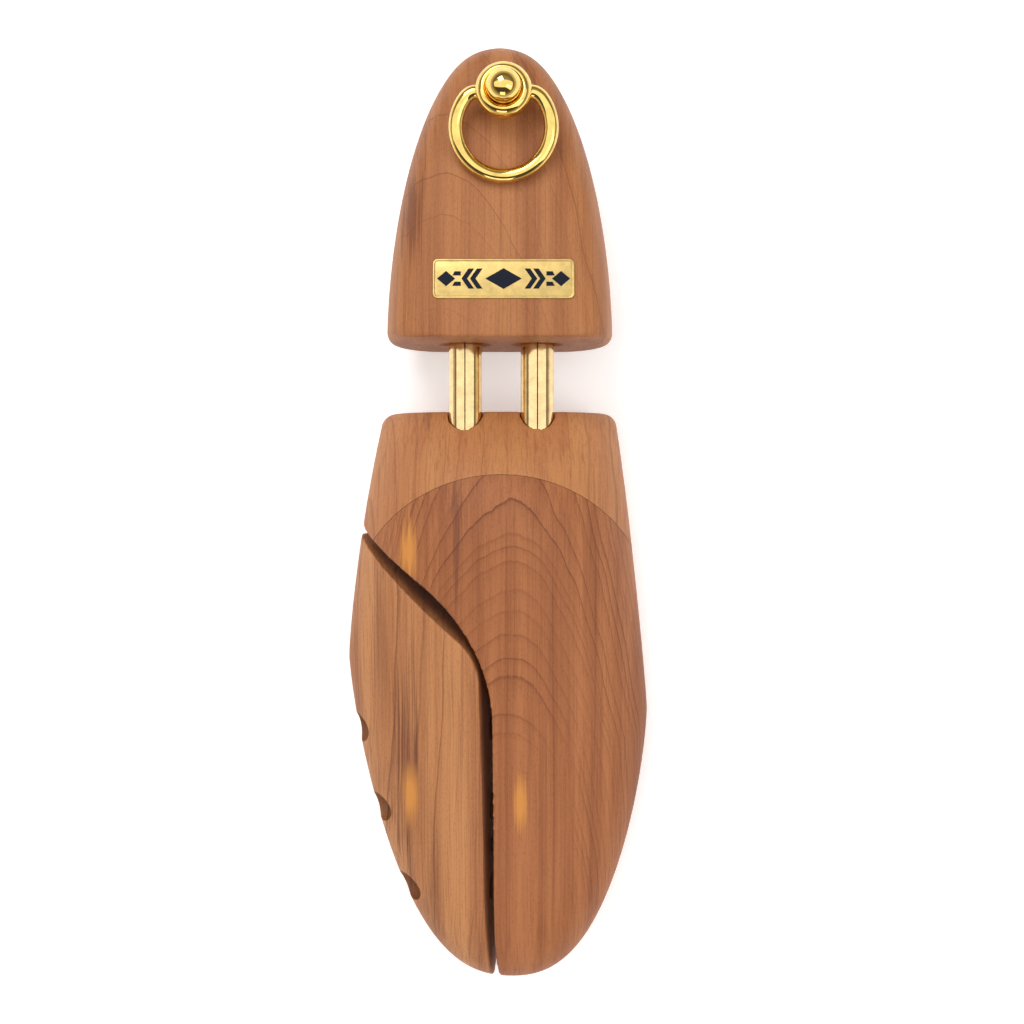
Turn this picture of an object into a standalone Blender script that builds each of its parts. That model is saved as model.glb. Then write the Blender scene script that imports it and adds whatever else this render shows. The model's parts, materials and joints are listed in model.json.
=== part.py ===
"""A sprung cedar shoe tree for a right shoe, with brass fittings.

The toe points along -Y, the heel along +Y, the lateral side is -X and +Z is up. The origin is
under the middle of the whole tree, on the surface that it stands on. Lengths are in metres.
"""

import math
from collections import namedtuple

import bmesh
import bpy
from mathutils import Matrix, Vector

# Gaps between pieces
GAP = 0.0003
RUNNING = 0.0001

# How far a cutter reaches out of the piece that it cuts
BEYOND = 0.01

# Round bars are turned a little, so that no corner of one lies exactly on an edge of another
ROD_TWIST = math.radians(2.3)

# Forefoot: its outline is a blunt superellipse quadrant on each side of the toe, then a taper
TOE_X = 0.004
TOE_Y = -0.140
FOREFOOT_REAR = 0.0327
REAR_CORNER = 0.0035
Edge = namedtuple("Edge", "width reach lengthwise crosswise taper ease")
LATERAL = Edge(0.0497, 0.099, 1.30, 2.50, 0.0105, 1.35)
MEDIAL = Edge(0.0413, 0.083, 1.50, 2.50, 0.0097, 1.15)
CROWN = (
    (-0.1400, 0.0235),
    (-0.1123, 0.0262),
    (-0.0823, 0.0302),
    (-0.0473, 0.0370),
    (-0.0223, 0.0420),
    (-0.0013, 0.0450),
    (0.0097, 0.0438),
    (0.0187, 0.0396),
    (0.0277, 0.0322),
    (0.0327, 0.0270),
)
RIDGE_SHIFT = 0.04
WIDEST_SHARE = 0.40
TOE_CAP = 0.030
TOE_UNDERCUT = 0.018
TOE_SPRING = 0.003
TOE_SPRING_START = -0.0923
CROWN_ROUND = (2.3, 1.55)
REAR_ROUND = (3.6, 1.8)
REAR_ROUND_START = 0.0087
FOREFOOT_FLAT = 0.62

# Heel block
HEEL_X = 0.0004
HEEL_FRONT = 0.0527
HEEL_TIP = 0.140
HEEL_HALF_WIDTH = 0.0335
HEEL_OUTLINE = (1.80, 2.25)
HEEL_TOP = 0.054
HEEL_SLOPE = math.radians(4.5)
HEEL_WIDEST = 0.024
HEEL_ROUND = (9.0, 2.4)
HEEL_SHOULDER = 0.010
HEEL_UNDERCUT = 0.022
HEEL_CORNER = 0.0028
HEEL_FLAT = 0.55

# Seam between the instep block and the toe block: an upright round face, convex towards the heel
SEAM_X = 0.0008
SEAM_REAR = 0.0136
SEAM_RADIUS = 0.0475
SEAM_STEPS = 40

# Slot between the toe block and the side piece. Its edges are given at SLOT_LEVEL, and both its
# walls slant: they stand further to the medial side, and to the heel, the lower they are
SLOT_LEVEL = 0.037
SLOT_SLANT = Vector((0.185, 0.082))
SLOT_TOE_END = -0.160
MAIN_EDGE = (Vector((-0.0640, 0.0114)), Vector((-0.0019, -0.0338)), Vector((-0.0048, SLOT_TOE_END)))
MAIN_RADIUS = 0.050
SIDE_EDGE = (Vector((-0.0700, 0.0168)), Vector((-0.0059, -0.0406)), Vector((-0.0068, SLOT_TOE_END)))
SIDE_RADIUS = 0.017
SLOT_OUTSIDE = -0.090
SLOT_TOP = 0.055
SLOT_FOOT = -0.005
SIDE_TRAVEL = 0.0015

# Vent holes in the side piece
VENT_RADIUS = 0.0044
VENTS = ((-0.0628, 0.0150), (-0.0872, 0.0140), (-0.1116, 0.0130))

# Tubes and what is in them
TUBE_X = 0.0008
TUBE_SPACING = 0.0215
TUBE_Z = 0.027
TUBE_RADIUS = 0.0050
TUBE_WALL = 0.0008
TUBE_FRONT = -0.0018
TUBE_REAR = 0.0977
TUBE_SEAM = 0.00035
BORE_FRONT = -0.0203
HEEL_TRAVEL = 0.015
RELIEF_RADIUS = 0.0078
RELIEF_DEPTH = 0.0028
SEAT_RADIUS = 0.0040
SEAT_FRONT = 0.0367
SEAT_LENGTH = 0.006
SPRING_RADIUS = 0.0028
SPRING_WIRE = 0.0009
CLOSED_PITCH = 1.15
SPRING_TURNS = 11
STOP_Y = 0.0047
BRAD_RADIUS = 0.0010
BRAD_FOOT = 0.0005
BRAD_REACH = 0.0006
BRAD_HOLE_TOP = TUBE_Z - 0.003
HEEL_BRAD_Y = 0.0887

# Guide pins of the side piece
PIN_RADIUS = 0.0020
PIN_NECK = 0.0011
PIN_Z = 0.013
PINS = {"rear": -0.0513, "front": -0.0993}
PIN_OUTER = -0.018
PIN_INNER = 0.024
PIN_BRAD_X = 0.017
PIN_BRAD_RADIUS = 0.0008
PIN_BRAD_TOP = 0.0175
POCKET_RADIUS = 0.0040
POCKET_END = 0.0080
SIDE_SPRING_RADIUS = 0.0030
SIDE_SPRING_START = 0.0011
SIDE_SPRING_TURNS = 4

# Knob: (height above the wood, radius)
FITTING_X = 0.0016
KNOB_Y = 0.1212
KNOB_SINK = 0.0004
KNOB_BODY = (
    (0.0116, 0.0045),
    (0.0121, 0.0049),
    (0.0126, 0.0056),
    (0.0126, 0.0064),
    (0.0119, 0.0073),
    (0.0108, 0.0079),
    (0.0094, 0.0081),
    (0.0078, 0.0078),
    (0.0060, 0.0070),
    (0.0042, 0.0062),
    (0.0026, 0.0057),
    (0.0014, 0.0056),
    (0.0009, 0.0058),
    (0.0000, 0.0058),
)
BALL_HEIGHT = 0.0138
BALL_RADIUS = 0.0050
CROSS_BORE_HEIGHT = 0.0076
BOLT_RADIUS = 0.0020
KNOB_REACH = 0.0081
BOLT_TOP = 0.0046
BOLT_BOTTOM = -0.020

# Pull ring: an open ring whose two ends turn in the knob's cross bore
RING_RADIUS = 0.0136
RING_WIRE = 0.0021
RING_NECK = 0.0094
RING_END = 0.0024
RING_REST_GAP = 0.00015

# Plate
PLATE_Y = 0.0692
PLATE_SIZE = (0.0404, 0.0114, 0.0010)
PLATE_CORNER = 0.0015
PLATE_PROUD = 0.0004
MARK_LENGTH = 0.034
MARK_BAR = 0.0012
MARK_DIAMOND = (0.0110, 0.0052)
MARK_DEPTH = 0.0003
MARK_PROUD = 0.0001

# Colours
CEDAR_HEEL = (0.55, 0.26, 0.13)
CEDAR_INSTEP = (0.56, 0.27, 0.14)
CEDAR_TOE = (0.53, 0.25, 0.12)
CEDAR_SIDE = (0.52, 0.24, 0.12)
BRASS = (0.86, 0.62, 0.20)
STEEL = (0.55, 0.55, 0.56)
ENAMEL = (0.02, 0.03, 0.07)


def new_collection(name):
    made = bpy.data.collections.new(name)
    bpy.context.scene.collection.children.link(made)
    return made


for old in list(bpy.data.objects):
    bpy.data.objects.remove(old)
PARTS = new_collection("shoe_tree")
CUTTERS = new_collection("cutters")


# Materials and objects


def finish_material(name, colour, roughness, metallic):
    made = bpy.data.materials.new(name)
    made.use_nodes = True
    shader = made.node_tree.nodes["Principled BSDF"]
    shader.inputs["Base Color"].default_value = (*colour, 1.0)
    shader.inputs["Roughness"].default_value = roughness
    shader.inputs["Metallic"].default_value = metallic
    return made


def wood(name, colour):
    return finish_material(name, colour, 0.55, 0.0)


def brass(name):
    return finish_material(name, BRASS, 0.18, 1.0)


def steel(name):
    return finish_material(name, STEEL, 0.35, 1.0)


def link(obj, collection):
    for old in list(obj.users_collection):
        old.objects.unlink(obj)
    collection.objects.link(obj)
    return obj


def as_part(obj, material, smooth=40):
    """Puts an object with the parts, with its material, and shades its round faces smooth."""
    link(obj, PARTS)
    obj.data.materials.clear()
    obj.data.materials.append(material)
    if obj.type == "MESH" and smooth:
        obj.data.shade_smooth()
        obj.data.set_sharp_from_angle(angle=math.radians(smooth))
    return obj


def as_cutter(obj):
    link(obj, CUTTERS)
    obj.hide_render = True
    obj.display_type = "WIRE"
    return obj


def mesh_object(name, bm):
    """An object from a bmesh, with its faces turned outwards."""
    bmesh.ops.recalc_face_normals(bm, faces=bm.faces)
    mesh = bpy.data.meshes.new(name)
    bm.to_mesh(mesh)
    bm.free()
    return bpy.data.objects.new(name, mesh)


def boolean(obj, cutter, operation="DIFFERENCE"):
    mod = obj.modifiers.new(cutter.name, "BOOLEAN")
    mod.object = cutter
    mod.operation = operation
    mod.solver = "EXACT"


def rod(name, start, end, radius, segments=24, end_radius=None):
    """A straight round bar, or a cone, between two points."""
    start, end = Vector(start), Vector(end)
    bm = bmesh.new()
    bmesh.ops.create_cone(
        bm,
        cap_ends=True,
        segments=segments,
        radius1=radius,
        radius2=radius if end_radius is None else end_radius,
        depth=(end - start).length,
    )
    bmesh.ops.rotate(bm, verts=bm.verts, matrix=Matrix.Rotation(ROD_TWIST, 3, "Z"))
    obj = mesh_object(name, bm)
    obj.location = (start + end) / 2
    obj.rotation_mode = "QUATERNION"
    obj.rotation_quaternion = (end - start).to_track_quat("Z", "Y")
    return obj


def turned(name, profile, steps=24):
    """A body turned about Z, from (radius, height) points that run down its outer side."""
    bm = bmesh.new()
    row = [bm.verts.new((r, 0, z)) for r, z in profile]
    for pair in zip(row, row[1:]):
        bm.edges.new(pair)
    mesh = bpy.data.meshes.new(name)
    bm.to_mesh(mesh)
    bm.free()
    obj = bpy.data.objects.new(name, mesh)
    screw = obj.modifiers.new("turn", "SCREW")
    screw.axis = "Z"
    screw.steps = steps
    screw.render_steps = steps
    screw.use_merge_vertices = True
    screw.merge_threshold = 0.00001
    return obj


def along(obj, start, direction):
    """Lays a turned body with its foot at a point and its axis along a direction."""
    turn = Vector(direction).to_track_quat("Z", "Y").to_matrix().to_4x4()
    obj.matrix_world = Matrix.Translation(start) @ turn @ Matrix.Rotation(ROD_TWIST, 4, "Z")
    return obj


def wire(name, points, radius, resolution):
    """A round wire with flat ends along a row of points."""
    curve = bpy.data.curves.new(name, "CURVE")
    curve.dimensions = "3D"
    curve.bevel_depth = radius
    curve.bevel_resolution = resolution
    curve.use_fill_caps = True
    spline = curve.splines.new("POLY")
    spline.points.add(len(points) - 1)
    for slot, point in zip(spline.points, points):
        slot.co = (*point, 1.0)
    return bpy.data.objects.new(name, curve)


def prism(name, outline, bottom, top, slant=Vector((0.0, 0.0)), level=0.0):
    """A flat outline drawn up from bottom to top. A slanted one has its outline at a level."""
    bm = bmesh.new()
    foot = [point + slant * (level - bottom) for point in outline]
    bm.faces.new([bm.verts.new((*point, bottom)) for point in foot])
    grown = bmesh.ops.extrude_face_region(bm, geom=list(bm.faces))["geom"]
    height = top - bottom
    lift = Vector((*(-slant * height), height))
    bmesh.ops.translate(bm, verts=[v for v in grown if isinstance(v, bmesh.types.BMVert)], vec=lift)
    return mesh_object(name, bm)


# Curves that the shapes follow


def smooth_height(points, at):
    """The height at a place on a smooth curve through (place, height) points."""
    spots = [p[0] for p in points]
    heights = [p[1] for p in points]
    i = max(1, min(len(points) - 1, sum(s < at for s in spots)))
    rises = [(heights[k + 1] - heights[k]) / (spots[k + 1] - spots[k]) for k in range(len(points) - 1)]
    slopes = [rises[0], *((a + b) / 2 for a, b in zip(rises, rises[1:])), rises[-1]]
    span = spots[i] - spots[i - 1]
    t = (at - spots[i - 1]) / span
    start = (1 + 2 * t) * (1 - t) ** 2 * heights[i - 1] + t * (1 - t) ** 2 * span * slopes[i - 1]
    end = t * t * (3 - 2 * t) * heights[i] - t * t * (1 - t) * span * slopes[i]
    return start + end


def quadrant(distance, reach, lengthwise=2.0, crosswise=2.0):
    """The share of its full width that a blunt end has at a distance from its tip."""
    left = max(0.0, 1.0 - distance / reach)
    return (1.0 - left**lengthwise) ** (1.0 / crosswise)


def half_width(edge, distance, length):
    """How far an edge is from the tip's centre line, at a distance from the tip."""
    if distance < edge.reach:
        return edge.width * quadrant(distance, edge.reach, edge.lengthwise, edge.crosswise)
    return edge.width - edge.taper * ((distance - edge.reach) / (length - edge.reach)) ** edge.ease


def corner_inset(distance, radius):
    """How far a rounded corner stands back, at a distance from the flat end."""
    left = max(0.0, radius - distance)
    return radius - math.sqrt(radius**2 - left**2)


def blend(a, b, share):
    return a + (b - a) * max(0.0, min(1.0, share))


# Lofts. A section is the outline at one place along Y, as a loop of (x, z)

Section = namedtuple("Section", "left right ridge bottom widest top round flat")


def section_loop(cut, over, under):
    """The loop of a section: a crowned top, rounded flanks and a flat underside."""
    loop = []
    for i in range(over + 1):
        u = math.cos(math.pi * i / over)
        reach = cut.right - cut.ridge if u > 0 else cut.ridge - cut.left
        rise = (1.0 - abs(u) ** cut.round[0]) ** (1.0 / cut.round[1])
        loop.append((cut.ridge + u * reach, cut.widest + (cut.top - cut.widest) * rise))
    for side, turns in ((cut.left, range(1, under + 1)), (cut.right, range(under, 0, -1))):
        for i in turns:
            turn = math.pi / 2 * i / under
            across = cut.flat + (1.0 - cut.flat) * math.cos(turn)
            drop = (cut.widest - cut.bottom) * math.sin(turn)
            loop.append((cut.ridge + (side - cut.ridge) * across, cut.widest - drop))
    return loop


def loft(name, tip, places, section, over=20, under=4):
    """A solid through the sections at the places, from a point at the tip to a flat end."""
    bm = bmesh.new()
    point = bm.verts.new(tip)
    rings = [[bm.verts.new((x, y, z)) for x, z in section_loop(section(y), over, under)] for y in places]
    count = len(rings[0])
    for i in range(count):
        j = (i + 1) % count
        bm.faces.new((point, rings[0][j], rings[0][i]))
        for near, far in zip(rings, rings[1:]):
            bm.faces.new((near[i], near[j], far[j], far[i]))
    bm.faces.new(rings[-1])
    return mesh_object(name, bm)


def forefoot_section(y):
    distance = y - TOE_Y
    length = FOREFOOT_REAR - TOE_Y
    inset = corner_inset(FOREFOOT_REAR - y, REAR_CORNER)
    left = TOE_X - half_width(LATERAL, distance, length) + inset
    right = TOE_X + half_width(MEDIAL, distance, length) - inset
    crown = smooth_height(CROWN, y)
    widest = WIDEST_SHARE * crown
    spring = TOE_SPRING * max(0.0, (TOE_SPRING_START - y) / (TOE_SPRING_START - TOE_Y)) ** 2
    back = (y - REAR_ROUND_START) / (FOREFOOT_REAR - REAR_ROUND_START)
    return Section(
        left,
        right,
        (left + right) / 2 + RIDGE_SHIFT * (right - left),
        blend(widest, spring, quadrant(distance, TOE_UNDERCUT)),
        widest,
        blend(widest, crown, quadrant(distance, TOE_CAP, crosswise=2.2)),
        tuple(blend(a, b, back) for a, b in zip(CROWN_ROUND, REAR_ROUND)),
        FOREFOOT_FLAT,
    )


def heel_height(y):
    """The height of the heel block's sloping top."""
    return HEEL_TOP - math.tan(HEEL_SLOPE) * (y - HEEL_FRONT)


def heel_section(y):
    distance = HEEL_TIP - y
    width = HEEL_HALF_WIDTH * quadrant(distance, HEEL_TIP - HEEL_FRONT, *HEEL_OUTLINE)
    width -= corner_inset(y - HEEL_FRONT, HEEL_CORNER)
    squareness, fullness = HEEL_ROUND
    return Section(
        HEEL_X - width,
        HEEL_X + width,
        HEEL_X,
        blend(HEEL_WIDEST, 0.0, quadrant(distance, HEEL_UNDERCUT)),
        HEEL_WIDEST,
        blend(HEEL_WIDEST, heel_height(y), quadrant(distance, HEEL_SHOULDER, 2.4, 2.4)),
        (max(2.0, squareness * width / HEEL_HALF_WIDTH), fullness),
        HEEL_FLAT,
    )


def places_along(tip, end, count, corner):
    """Places from a blunt tip to a flat end: close together at the tip and at the end's corner."""
    way = math.copysign(1.0, end - tip)
    body = abs(end - tip) - corner
    places = [tip + way * body * (i / count) ** 2 for i in range(1, count + 1)]
    return places + [end - way * corner * share for share in (0.55, 0.2, 0.0)]


def forefoot_solid(name):
    tip = (TOE_X, TOE_Y, WIDEST_SHARE * CROWN[0][1])
    return loft(name, tip, places_along(TOE_Y, FOREFOOT_REAR, 24, REAR_CORNER), forefoot_section)


# Cutters of the forefoot


def rounded_corner(before, corner, after, radius, steps=8):
    """Points on the arc that rounds the corner between two straight lines."""
    into, out = (corner - before).normalized(), (after - corner).normalized()
    turn = into.angle_signed(out)
    reach = radius * math.tan(abs(turn) / 2)
    centre = corner - into * reach + Vector((into.y, -into.x)) * math.copysign(radius, turn)
    arm = corner - into * reach - centre
    return [centre + Matrix.Rotation(-turn * i / steps, 2) @ arm for i in range(steps + 1)]


def outside_slot(name, edge, radius):
    """The region on the lateral side of a slanting slot edge."""
    path = [edge[0], *rounded_corner(*edge, radius), edge[2]]
    corners = [Vector((SLOT_OUTSIDE, path[-1].y)), Vector((SLOT_OUTSIDE, path[0].y))]
    return as_cutter(prism(name, corners + path, SLOT_FOOT, SLOT_TOP, SLOT_SLANT, SLOT_LEVEL))


def before_seam(name, grow):
    """The region on the toe side of the seam: a half disc, and all that lies before it."""
    radius = SEAM_RADIUS + grow
    middle = Vector((SEAM_X, SEAM_REAR - SEAM_RADIUS))
    turns = [math.pi * i / SEAM_STEPS for i in range(SEAM_STEPS + 1)]
    arc = [middle + radius * Vector((math.cos(turn), math.sin(turn))) for turn in turns]
    front = [Vector((arc[-1].x, SLOT_TOE_END)), Vector((arc[0].x, SLOT_TOE_END))]
    return as_cutter(prism(name, arc + front, SLOT_FOOT, SLOT_TOP))


def tube_sides():
    half = TUBE_SPACING / 2
    return {"lateral": TUBE_X - half, "medial": TUBE_X + half}


def tube_bore_cutters():
    """The forefoot's two bores, which run out at its rear face."""
    return [
        as_cutter(
            rod(
                f"forefoot_bore_{side}",
                (x, BORE_FRONT, TUBE_Z),
                (x, FOREFOOT_REAR + BEYOND, TUBE_Z),
                TUBE_RADIUS + RUNNING,
                36,
            )
        )
        for side, x in tube_sides().items()
    ]


def stop_hole_cutters():
    return [
        as_cutter(
            rod(f"stop_hole_{side}", (x, STOP_Y, -BEYOND), (x, STOP_Y, BRAD_HOLE_TOP), BRAD_RADIUS + GAP)
        )
        for side, x in tube_sides().items()
    ]


def pin_bore_cutters(name, y):
    """In the toe block: a guide pin's bore, the pocket of its spring and the hole of its brad."""
    bottom = PIN_INNER + SIDE_TRAVEL + 0.001
    outline = (
        (0.0, bottom + BEYOND),
        (POCKET_RADIUS, bottom + BEYOND),
        (POCKET_RADIUS, bottom - POCKET_END),
        (PIN_RADIUS + RUNNING, bottom - POCKET_END),
        (PIN_RADIUS + RUNNING, 0.0),
        (0.0, 0.0),
    )
    bore = along(turned(f"pin_bore_{name}", outline, 24), (bottom, y, PIN_Z), (-1, 0, 0))
    beside = y + PIN_NECK + PIN_BRAD_RADIUS + RUNNING * 2
    hole = rod(
        f"pin_brad_hole_{name}",
        (PIN_BRAD_X, beside, -BEYOND),
        (PIN_BRAD_X, beside, PIN_BRAD_TOP + GAP),
        PIN_BRAD_RADIUS + GAP,
        16,
    )
    return [as_cutter(obj) for obj in (bore, hole)]


# Wooden pieces


def make_forefoot():
    slot = outside_slot("slot_region", MAIN_EDGE, MAIN_RADIUS)
    bores = tube_bore_cutters() + stop_hole_cutters()
    instep = as_part(forefoot_solid("instep_block"), wood("cedar_instep", CEDAR_INSTEP))
    toe = as_part(forefoot_solid("toe_block"), wood("cedar_toe", CEDAR_TOE))
    boolean(instep, before_seam("seam_of_instep", GAP / 2))
    boolean(toe, before_seam("seam_of_toe", -GAP / 2), "INTERSECT")
    for block in (instep, toe):
        for cutter in [slot, *bores]:
            boolean(block, cutter)
    for name, y in PINS.items():
        for cutter in pin_bore_cutters(name, y):
            boolean(toe, cutter)


def make_side_piece():
    side = as_part(forefoot_solid("side_piece"), wood("cedar_side", CEDAR_SIDE))
    boolean(side, outside_slot("side_region", SIDE_EDGE, SIDE_RADIUS), "INTERSECT")
    for i, (y, z) in enumerate(VENTS):
        boolean(side, as_cutter(rod(f"vent_{i + 1}", (SLOT_OUTSIDE, y, z), (BEYOND, y, z), VENT_RADIUS)))
    for name, y in PINS.items():
        hole = rod(f"pin_socket_{name}", (PIN_OUTER - GAP, y, PIN_Z), (BEYOND, y, PIN_Z), PIN_RADIUS + GAP)
        boolean(side, as_cutter(hole))


def heel_top_frame(x, y, lift=0.0):
    """A frame on the heel block's sloping top, with Z along its normal."""
    slope = Matrix.Rotation(-HEEL_SLOPE, 4, "X")
    return Matrix.Translation((x, y, heel_height(y))) @ slope @ Matrix.Translation((0, 0, lift))


def rounded_slab(name, size, corner):
    """A slab with round corners, centred in its length and width, with its top at zero."""
    bm = bmesh.new()
    bmesh.ops.create_cube(bm, size=1.0)
    bmesh.ops.scale(bm, vec=size, verts=bm.verts)
    bmesh.ops.translate(bm, vec=(0, 0, -size[2] / 2), verts=bm.verts)
    upright = [e for e in bm.edges if abs((e.verts[0].co - e.verts[1].co).z) > size[2] / 2]
    bmesh.ops.bevel(bm, geom=upright, offset=corner, segments=4, profile=0.5, affect="EDGES")
    return mesh_object(name, bm)


def heel_bore(name):
    """The bore of a tube in the heel block, with a relief at its mouth."""
    depth = TUBE_REAR + GAP - HEEL_FRONT
    slope = (RELIEF_RADIUS - TUBE_RADIUS) / RELIEF_DEPTH
    beyond = 0.002
    outline = (
        (0.0, depth + beyond),
        (RELIEF_RADIUS + slope * beyond, depth + beyond),
        (TUBE_RADIUS + GAP, depth - RELIEF_DEPTH),
        (TUBE_RADIUS + GAP, 0.0),
        (0.0, 0.0),
    )
    return turned(name, outline, 28)


def make_heel_block():
    tip = (HEEL_X, HEEL_TIP, HEEL_WIDEST)
    places = places_along(HEEL_TIP, HEEL_FRONT, 16, HEEL_CORNER)
    block = as_part(loft("heel_block", tip, places, heel_section), wood("cedar_heel", CEDAR_HEEL))
    for side, x in tube_sides().items():
        bore = along(heel_bore(f"heel_bore_{side}"), (x, TUBE_REAR + GAP, TUBE_Z), (0, -1, 0))
        hole = rod(
            f"heel_brad_hole_{side}",
            (x, HEEL_BRAD_Y, -BEYOND),
            (x, HEEL_BRAD_Y, BRAD_HOLE_TOP),
            BRAD_RADIUS + GAP,
        )
        for cutter in (bore, hole):
            boolean(block, as_cutter(cutter))
    foot = KNOB_BODY[-1][1] + GAP
    outline = (
        (0.0, BEYOND),
        (foot, BEYOND),
        (foot, -KNOB_SINK - GAP),
        (BOLT_RADIUS + GAP, -KNOB_SINK - GAP),
        (BOLT_RADIUS + GAP, BOLT_BOTTOM - KNOB_SINK - GAP),
        (0.0, BOLT_BOTTOM - KNOB_SINK - GAP),
    )
    seat = turned("knob_seat", outline)
    seat.matrix_world = heel_top_frame(FITTING_X, KNOB_Y)
    depth = PLATE_SIZE[2] - PLATE_PROUD + GAP
    size = (PLATE_SIZE[0] + 2 * GAP, PLATE_SIZE[1] + 2 * GAP, depth + BEYOND)
    recess = rounded_slab("plate_recess", size, PLATE_CORNER + GAP)
    recess.matrix_world = heel_top_frame(FITTING_X, PLATE_Y, BEYOND)
    for cutter in (seat, recess):
        boolean(block, as_cutter(cutter))


# Tubes and the main springs


def make_tube(side, x, material):
    """A tube rolled from sheet, open along a fine seam on top, with a slot for its stop brad."""
    half_seam = TUBE_SEAM / 2 / TUBE_RADIUS
    steps = 32
    bm = bmesh.new()
    sweep = 2 * math.pi - 2 * half_seam
    angles = [math.pi / 2 + half_seam + sweep * i / steps for i in range(steps + 1)]
    row = [
        bm.verts.new((TUBE_RADIUS * math.cos(a), TUBE_FRONT, TUBE_RADIUS * math.sin(a))) for a in angles
    ]
    edges = [bm.edges.new(pair) for pair in zip(row, row[1:])]
    grown = bmesh.ops.extrude_edge_only(bm, edges=edges)["geom"]
    far = [v for v in grown if isinstance(v, bmesh.types.BMVert)]
    bmesh.ops.translate(bm, verts=far, vec=(0, TUBE_REAR - TUBE_FRONT, 0))
    for face in bm.faces:
        middle = face.calc_center_median()
        if face.normal.dot(Vector((middle.x, 0, middle.z))) < 0:
            face.normal_flip()
    mesh = bpy.data.meshes.new(f"tube_{side}")
    bm.to_mesh(mesh)
    bm.free()
    tube = as_part(bpy.data.objects.new(mesh.name, mesh), material)
    tube.location = (x, 0, TUBE_Z)
    shell = tube.modifiers.new("wall", "SOLIDIFY")
    shell.thickness = TUBE_WALL
    shell.offset = -1
    cut_tube(tube, side, x)


def cut_tube(tube, side, x):
    """Cuts the slot that its stop brad runs in, and the hole of its heel brad."""
    front = STOP_Y - BRAD_RADIUS - GAP
    rear = STOP_Y + BRAD_RADIUS + GAP + HEEL_TRAVEL
    size = (2 * BRAD_RADIUS + 2 * GAP, rear - front, 0.006)
    slot = rounded_slab(f"stop_slot_{side}", size, BRAD_RADIUS)
    slot.location = (x, (front + rear) / 2, TUBE_Z - TUBE_RADIUS + 0.003)
    hole = rod(
        f"tube_hole_{side}",
        (x, HEEL_BRAD_Y, TUBE_Z - BEYOND),
        (x, HEEL_BRAD_Y, BRAD_HOLE_TOP),
        BRAD_RADIUS + GAP,
    )
    for cutter in (slot, hole):
        boolean(tube, as_cutter(cutter))


def helix(radius, length, turns, per_turn=8):
    """Points of a coil along +Y, with a closed turn at each end."""
    closed = SPRING_WIRE * CLOSED_PITCH
    pitch = (length - 2 * closed) / (turns - 2)
    points = []
    for i in range(turns * per_turn + 1):
        turn = i / per_turn
        ends = min(turn, 1.0) + max(0.0, turn - turns + 1.0)
        reach = closed * ends + pitch * (turn - ends)
        angle = 2 * math.pi * turn
        points.append(Vector((radius * math.cos(angle), reach, radius * math.sin(angle))))
    return points


def make_tube_set(side, x):
    make_tube(side, x, brass(f"brass_tube_{side}"))
    seat = rod(
        f"spring_seat_{side}", (x, SEAT_FRONT, TUBE_Z), (x, SEAT_FRONT + SEAT_LENGTH, TUBE_Z), SEAT_RADIUS
    )
    as_part(seat, steel(f"seat_{side}"))
    end_gap = SPRING_WIRE / 2 + GAP
    length = SEAT_FRONT - BORE_FRONT - 2 * end_gap
    spring = wire(
        f"main_spring_{side}", helix(SPRING_RADIUS, length, SPRING_TURNS), SPRING_WIRE / 2, 1
    )
    spring.location = (x, BORE_FRONT + end_gap, TUBE_Z)
    as_part(spring, steel(f"spring_{side}"))
    tip = TUBE_Z - TUBE_RADIUS + TUBE_WALL + BRAD_REACH
    for name, y in (("stop", STOP_Y), ("heel", HEEL_BRAD_Y)):
        brad = rod(f"{name}_brad_{side}", (x, y, BRAD_FOOT), (x, y, tip), BRAD_RADIUS, 16)
        as_part(brad, brass(f"{name}_brad_{side}"))


# Guide pins of the side piece


def make_guide_pin(name, y):
    neck_end = PIN_BRAD_X + PIN_BRAD_RADIUS + RUNNING * 2
    neck_start = PIN_BRAD_X - PIN_BRAD_RADIUS - RUNNING * 2 - SIDE_TRAVEL
    profile = (
        (0.0, PIN_INNER),
        (PIN_RADIUS * 0.7, PIN_INNER),
        (PIN_RADIUS, PIN_INNER - PIN_RADIUS * 0.3),
        (PIN_RADIUS, neck_end),
        (PIN_NECK, neck_end),
        (PIN_NECK, neck_start),
        (PIN_RADIUS, neck_start),
        (PIN_RADIUS, PIN_OUTER),
        (0.0, PIN_OUTER),
    )
    pin = as_part(turned(f"guide_pin_{name}", profile, 24), steel(f"guide_pin_{name}"))
    pin.location = (0, y, PIN_Z)
    pin.rotation_euler.y = math.pi / 2
    beside = y + PIN_NECK + PIN_BRAD_RADIUS + RUNNING * 2
    brad = rod(
        f"pin_brad_{name}",
        (PIN_BRAD_X, beside, BRAD_FOOT),
        (PIN_BRAD_X, beside, PIN_BRAD_TOP),
        PIN_BRAD_RADIUS,
        16,
    )
    as_part(brad, brass(f"pin_brad_{name}"))
    length = POCKET_END - GAP - SPRING_WIRE / 2 - SIDE_SPRING_START
    coil = helix(SIDE_SPRING_RADIUS, length, SIDE_SPRING_TURNS)
    spring = wire(f"side_spring_{name}", coil, SPRING_WIRE / 2, 1)
    spring.location = (SIDE_SPRING_START, y, PIN_Z)
    spring.rotation_euler.z = -math.pi / 2
    as_part(spring, steel(f"side_spring_{name}"))


# Knob, ring and plate


def ball_profile(steps=9):
    """The ball's outline from its top down to where it meets the cup."""
    lowest = math.pi - math.asin(KNOB_BODY[0][1] / BALL_RADIUS)
    turns = [lowest * i / steps for i in range(steps + 1)]
    return [(BALL_RADIUS * math.sin(a), BALL_HEIGHT + BALL_RADIUS * math.cos(a)) for a in turns]


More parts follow.
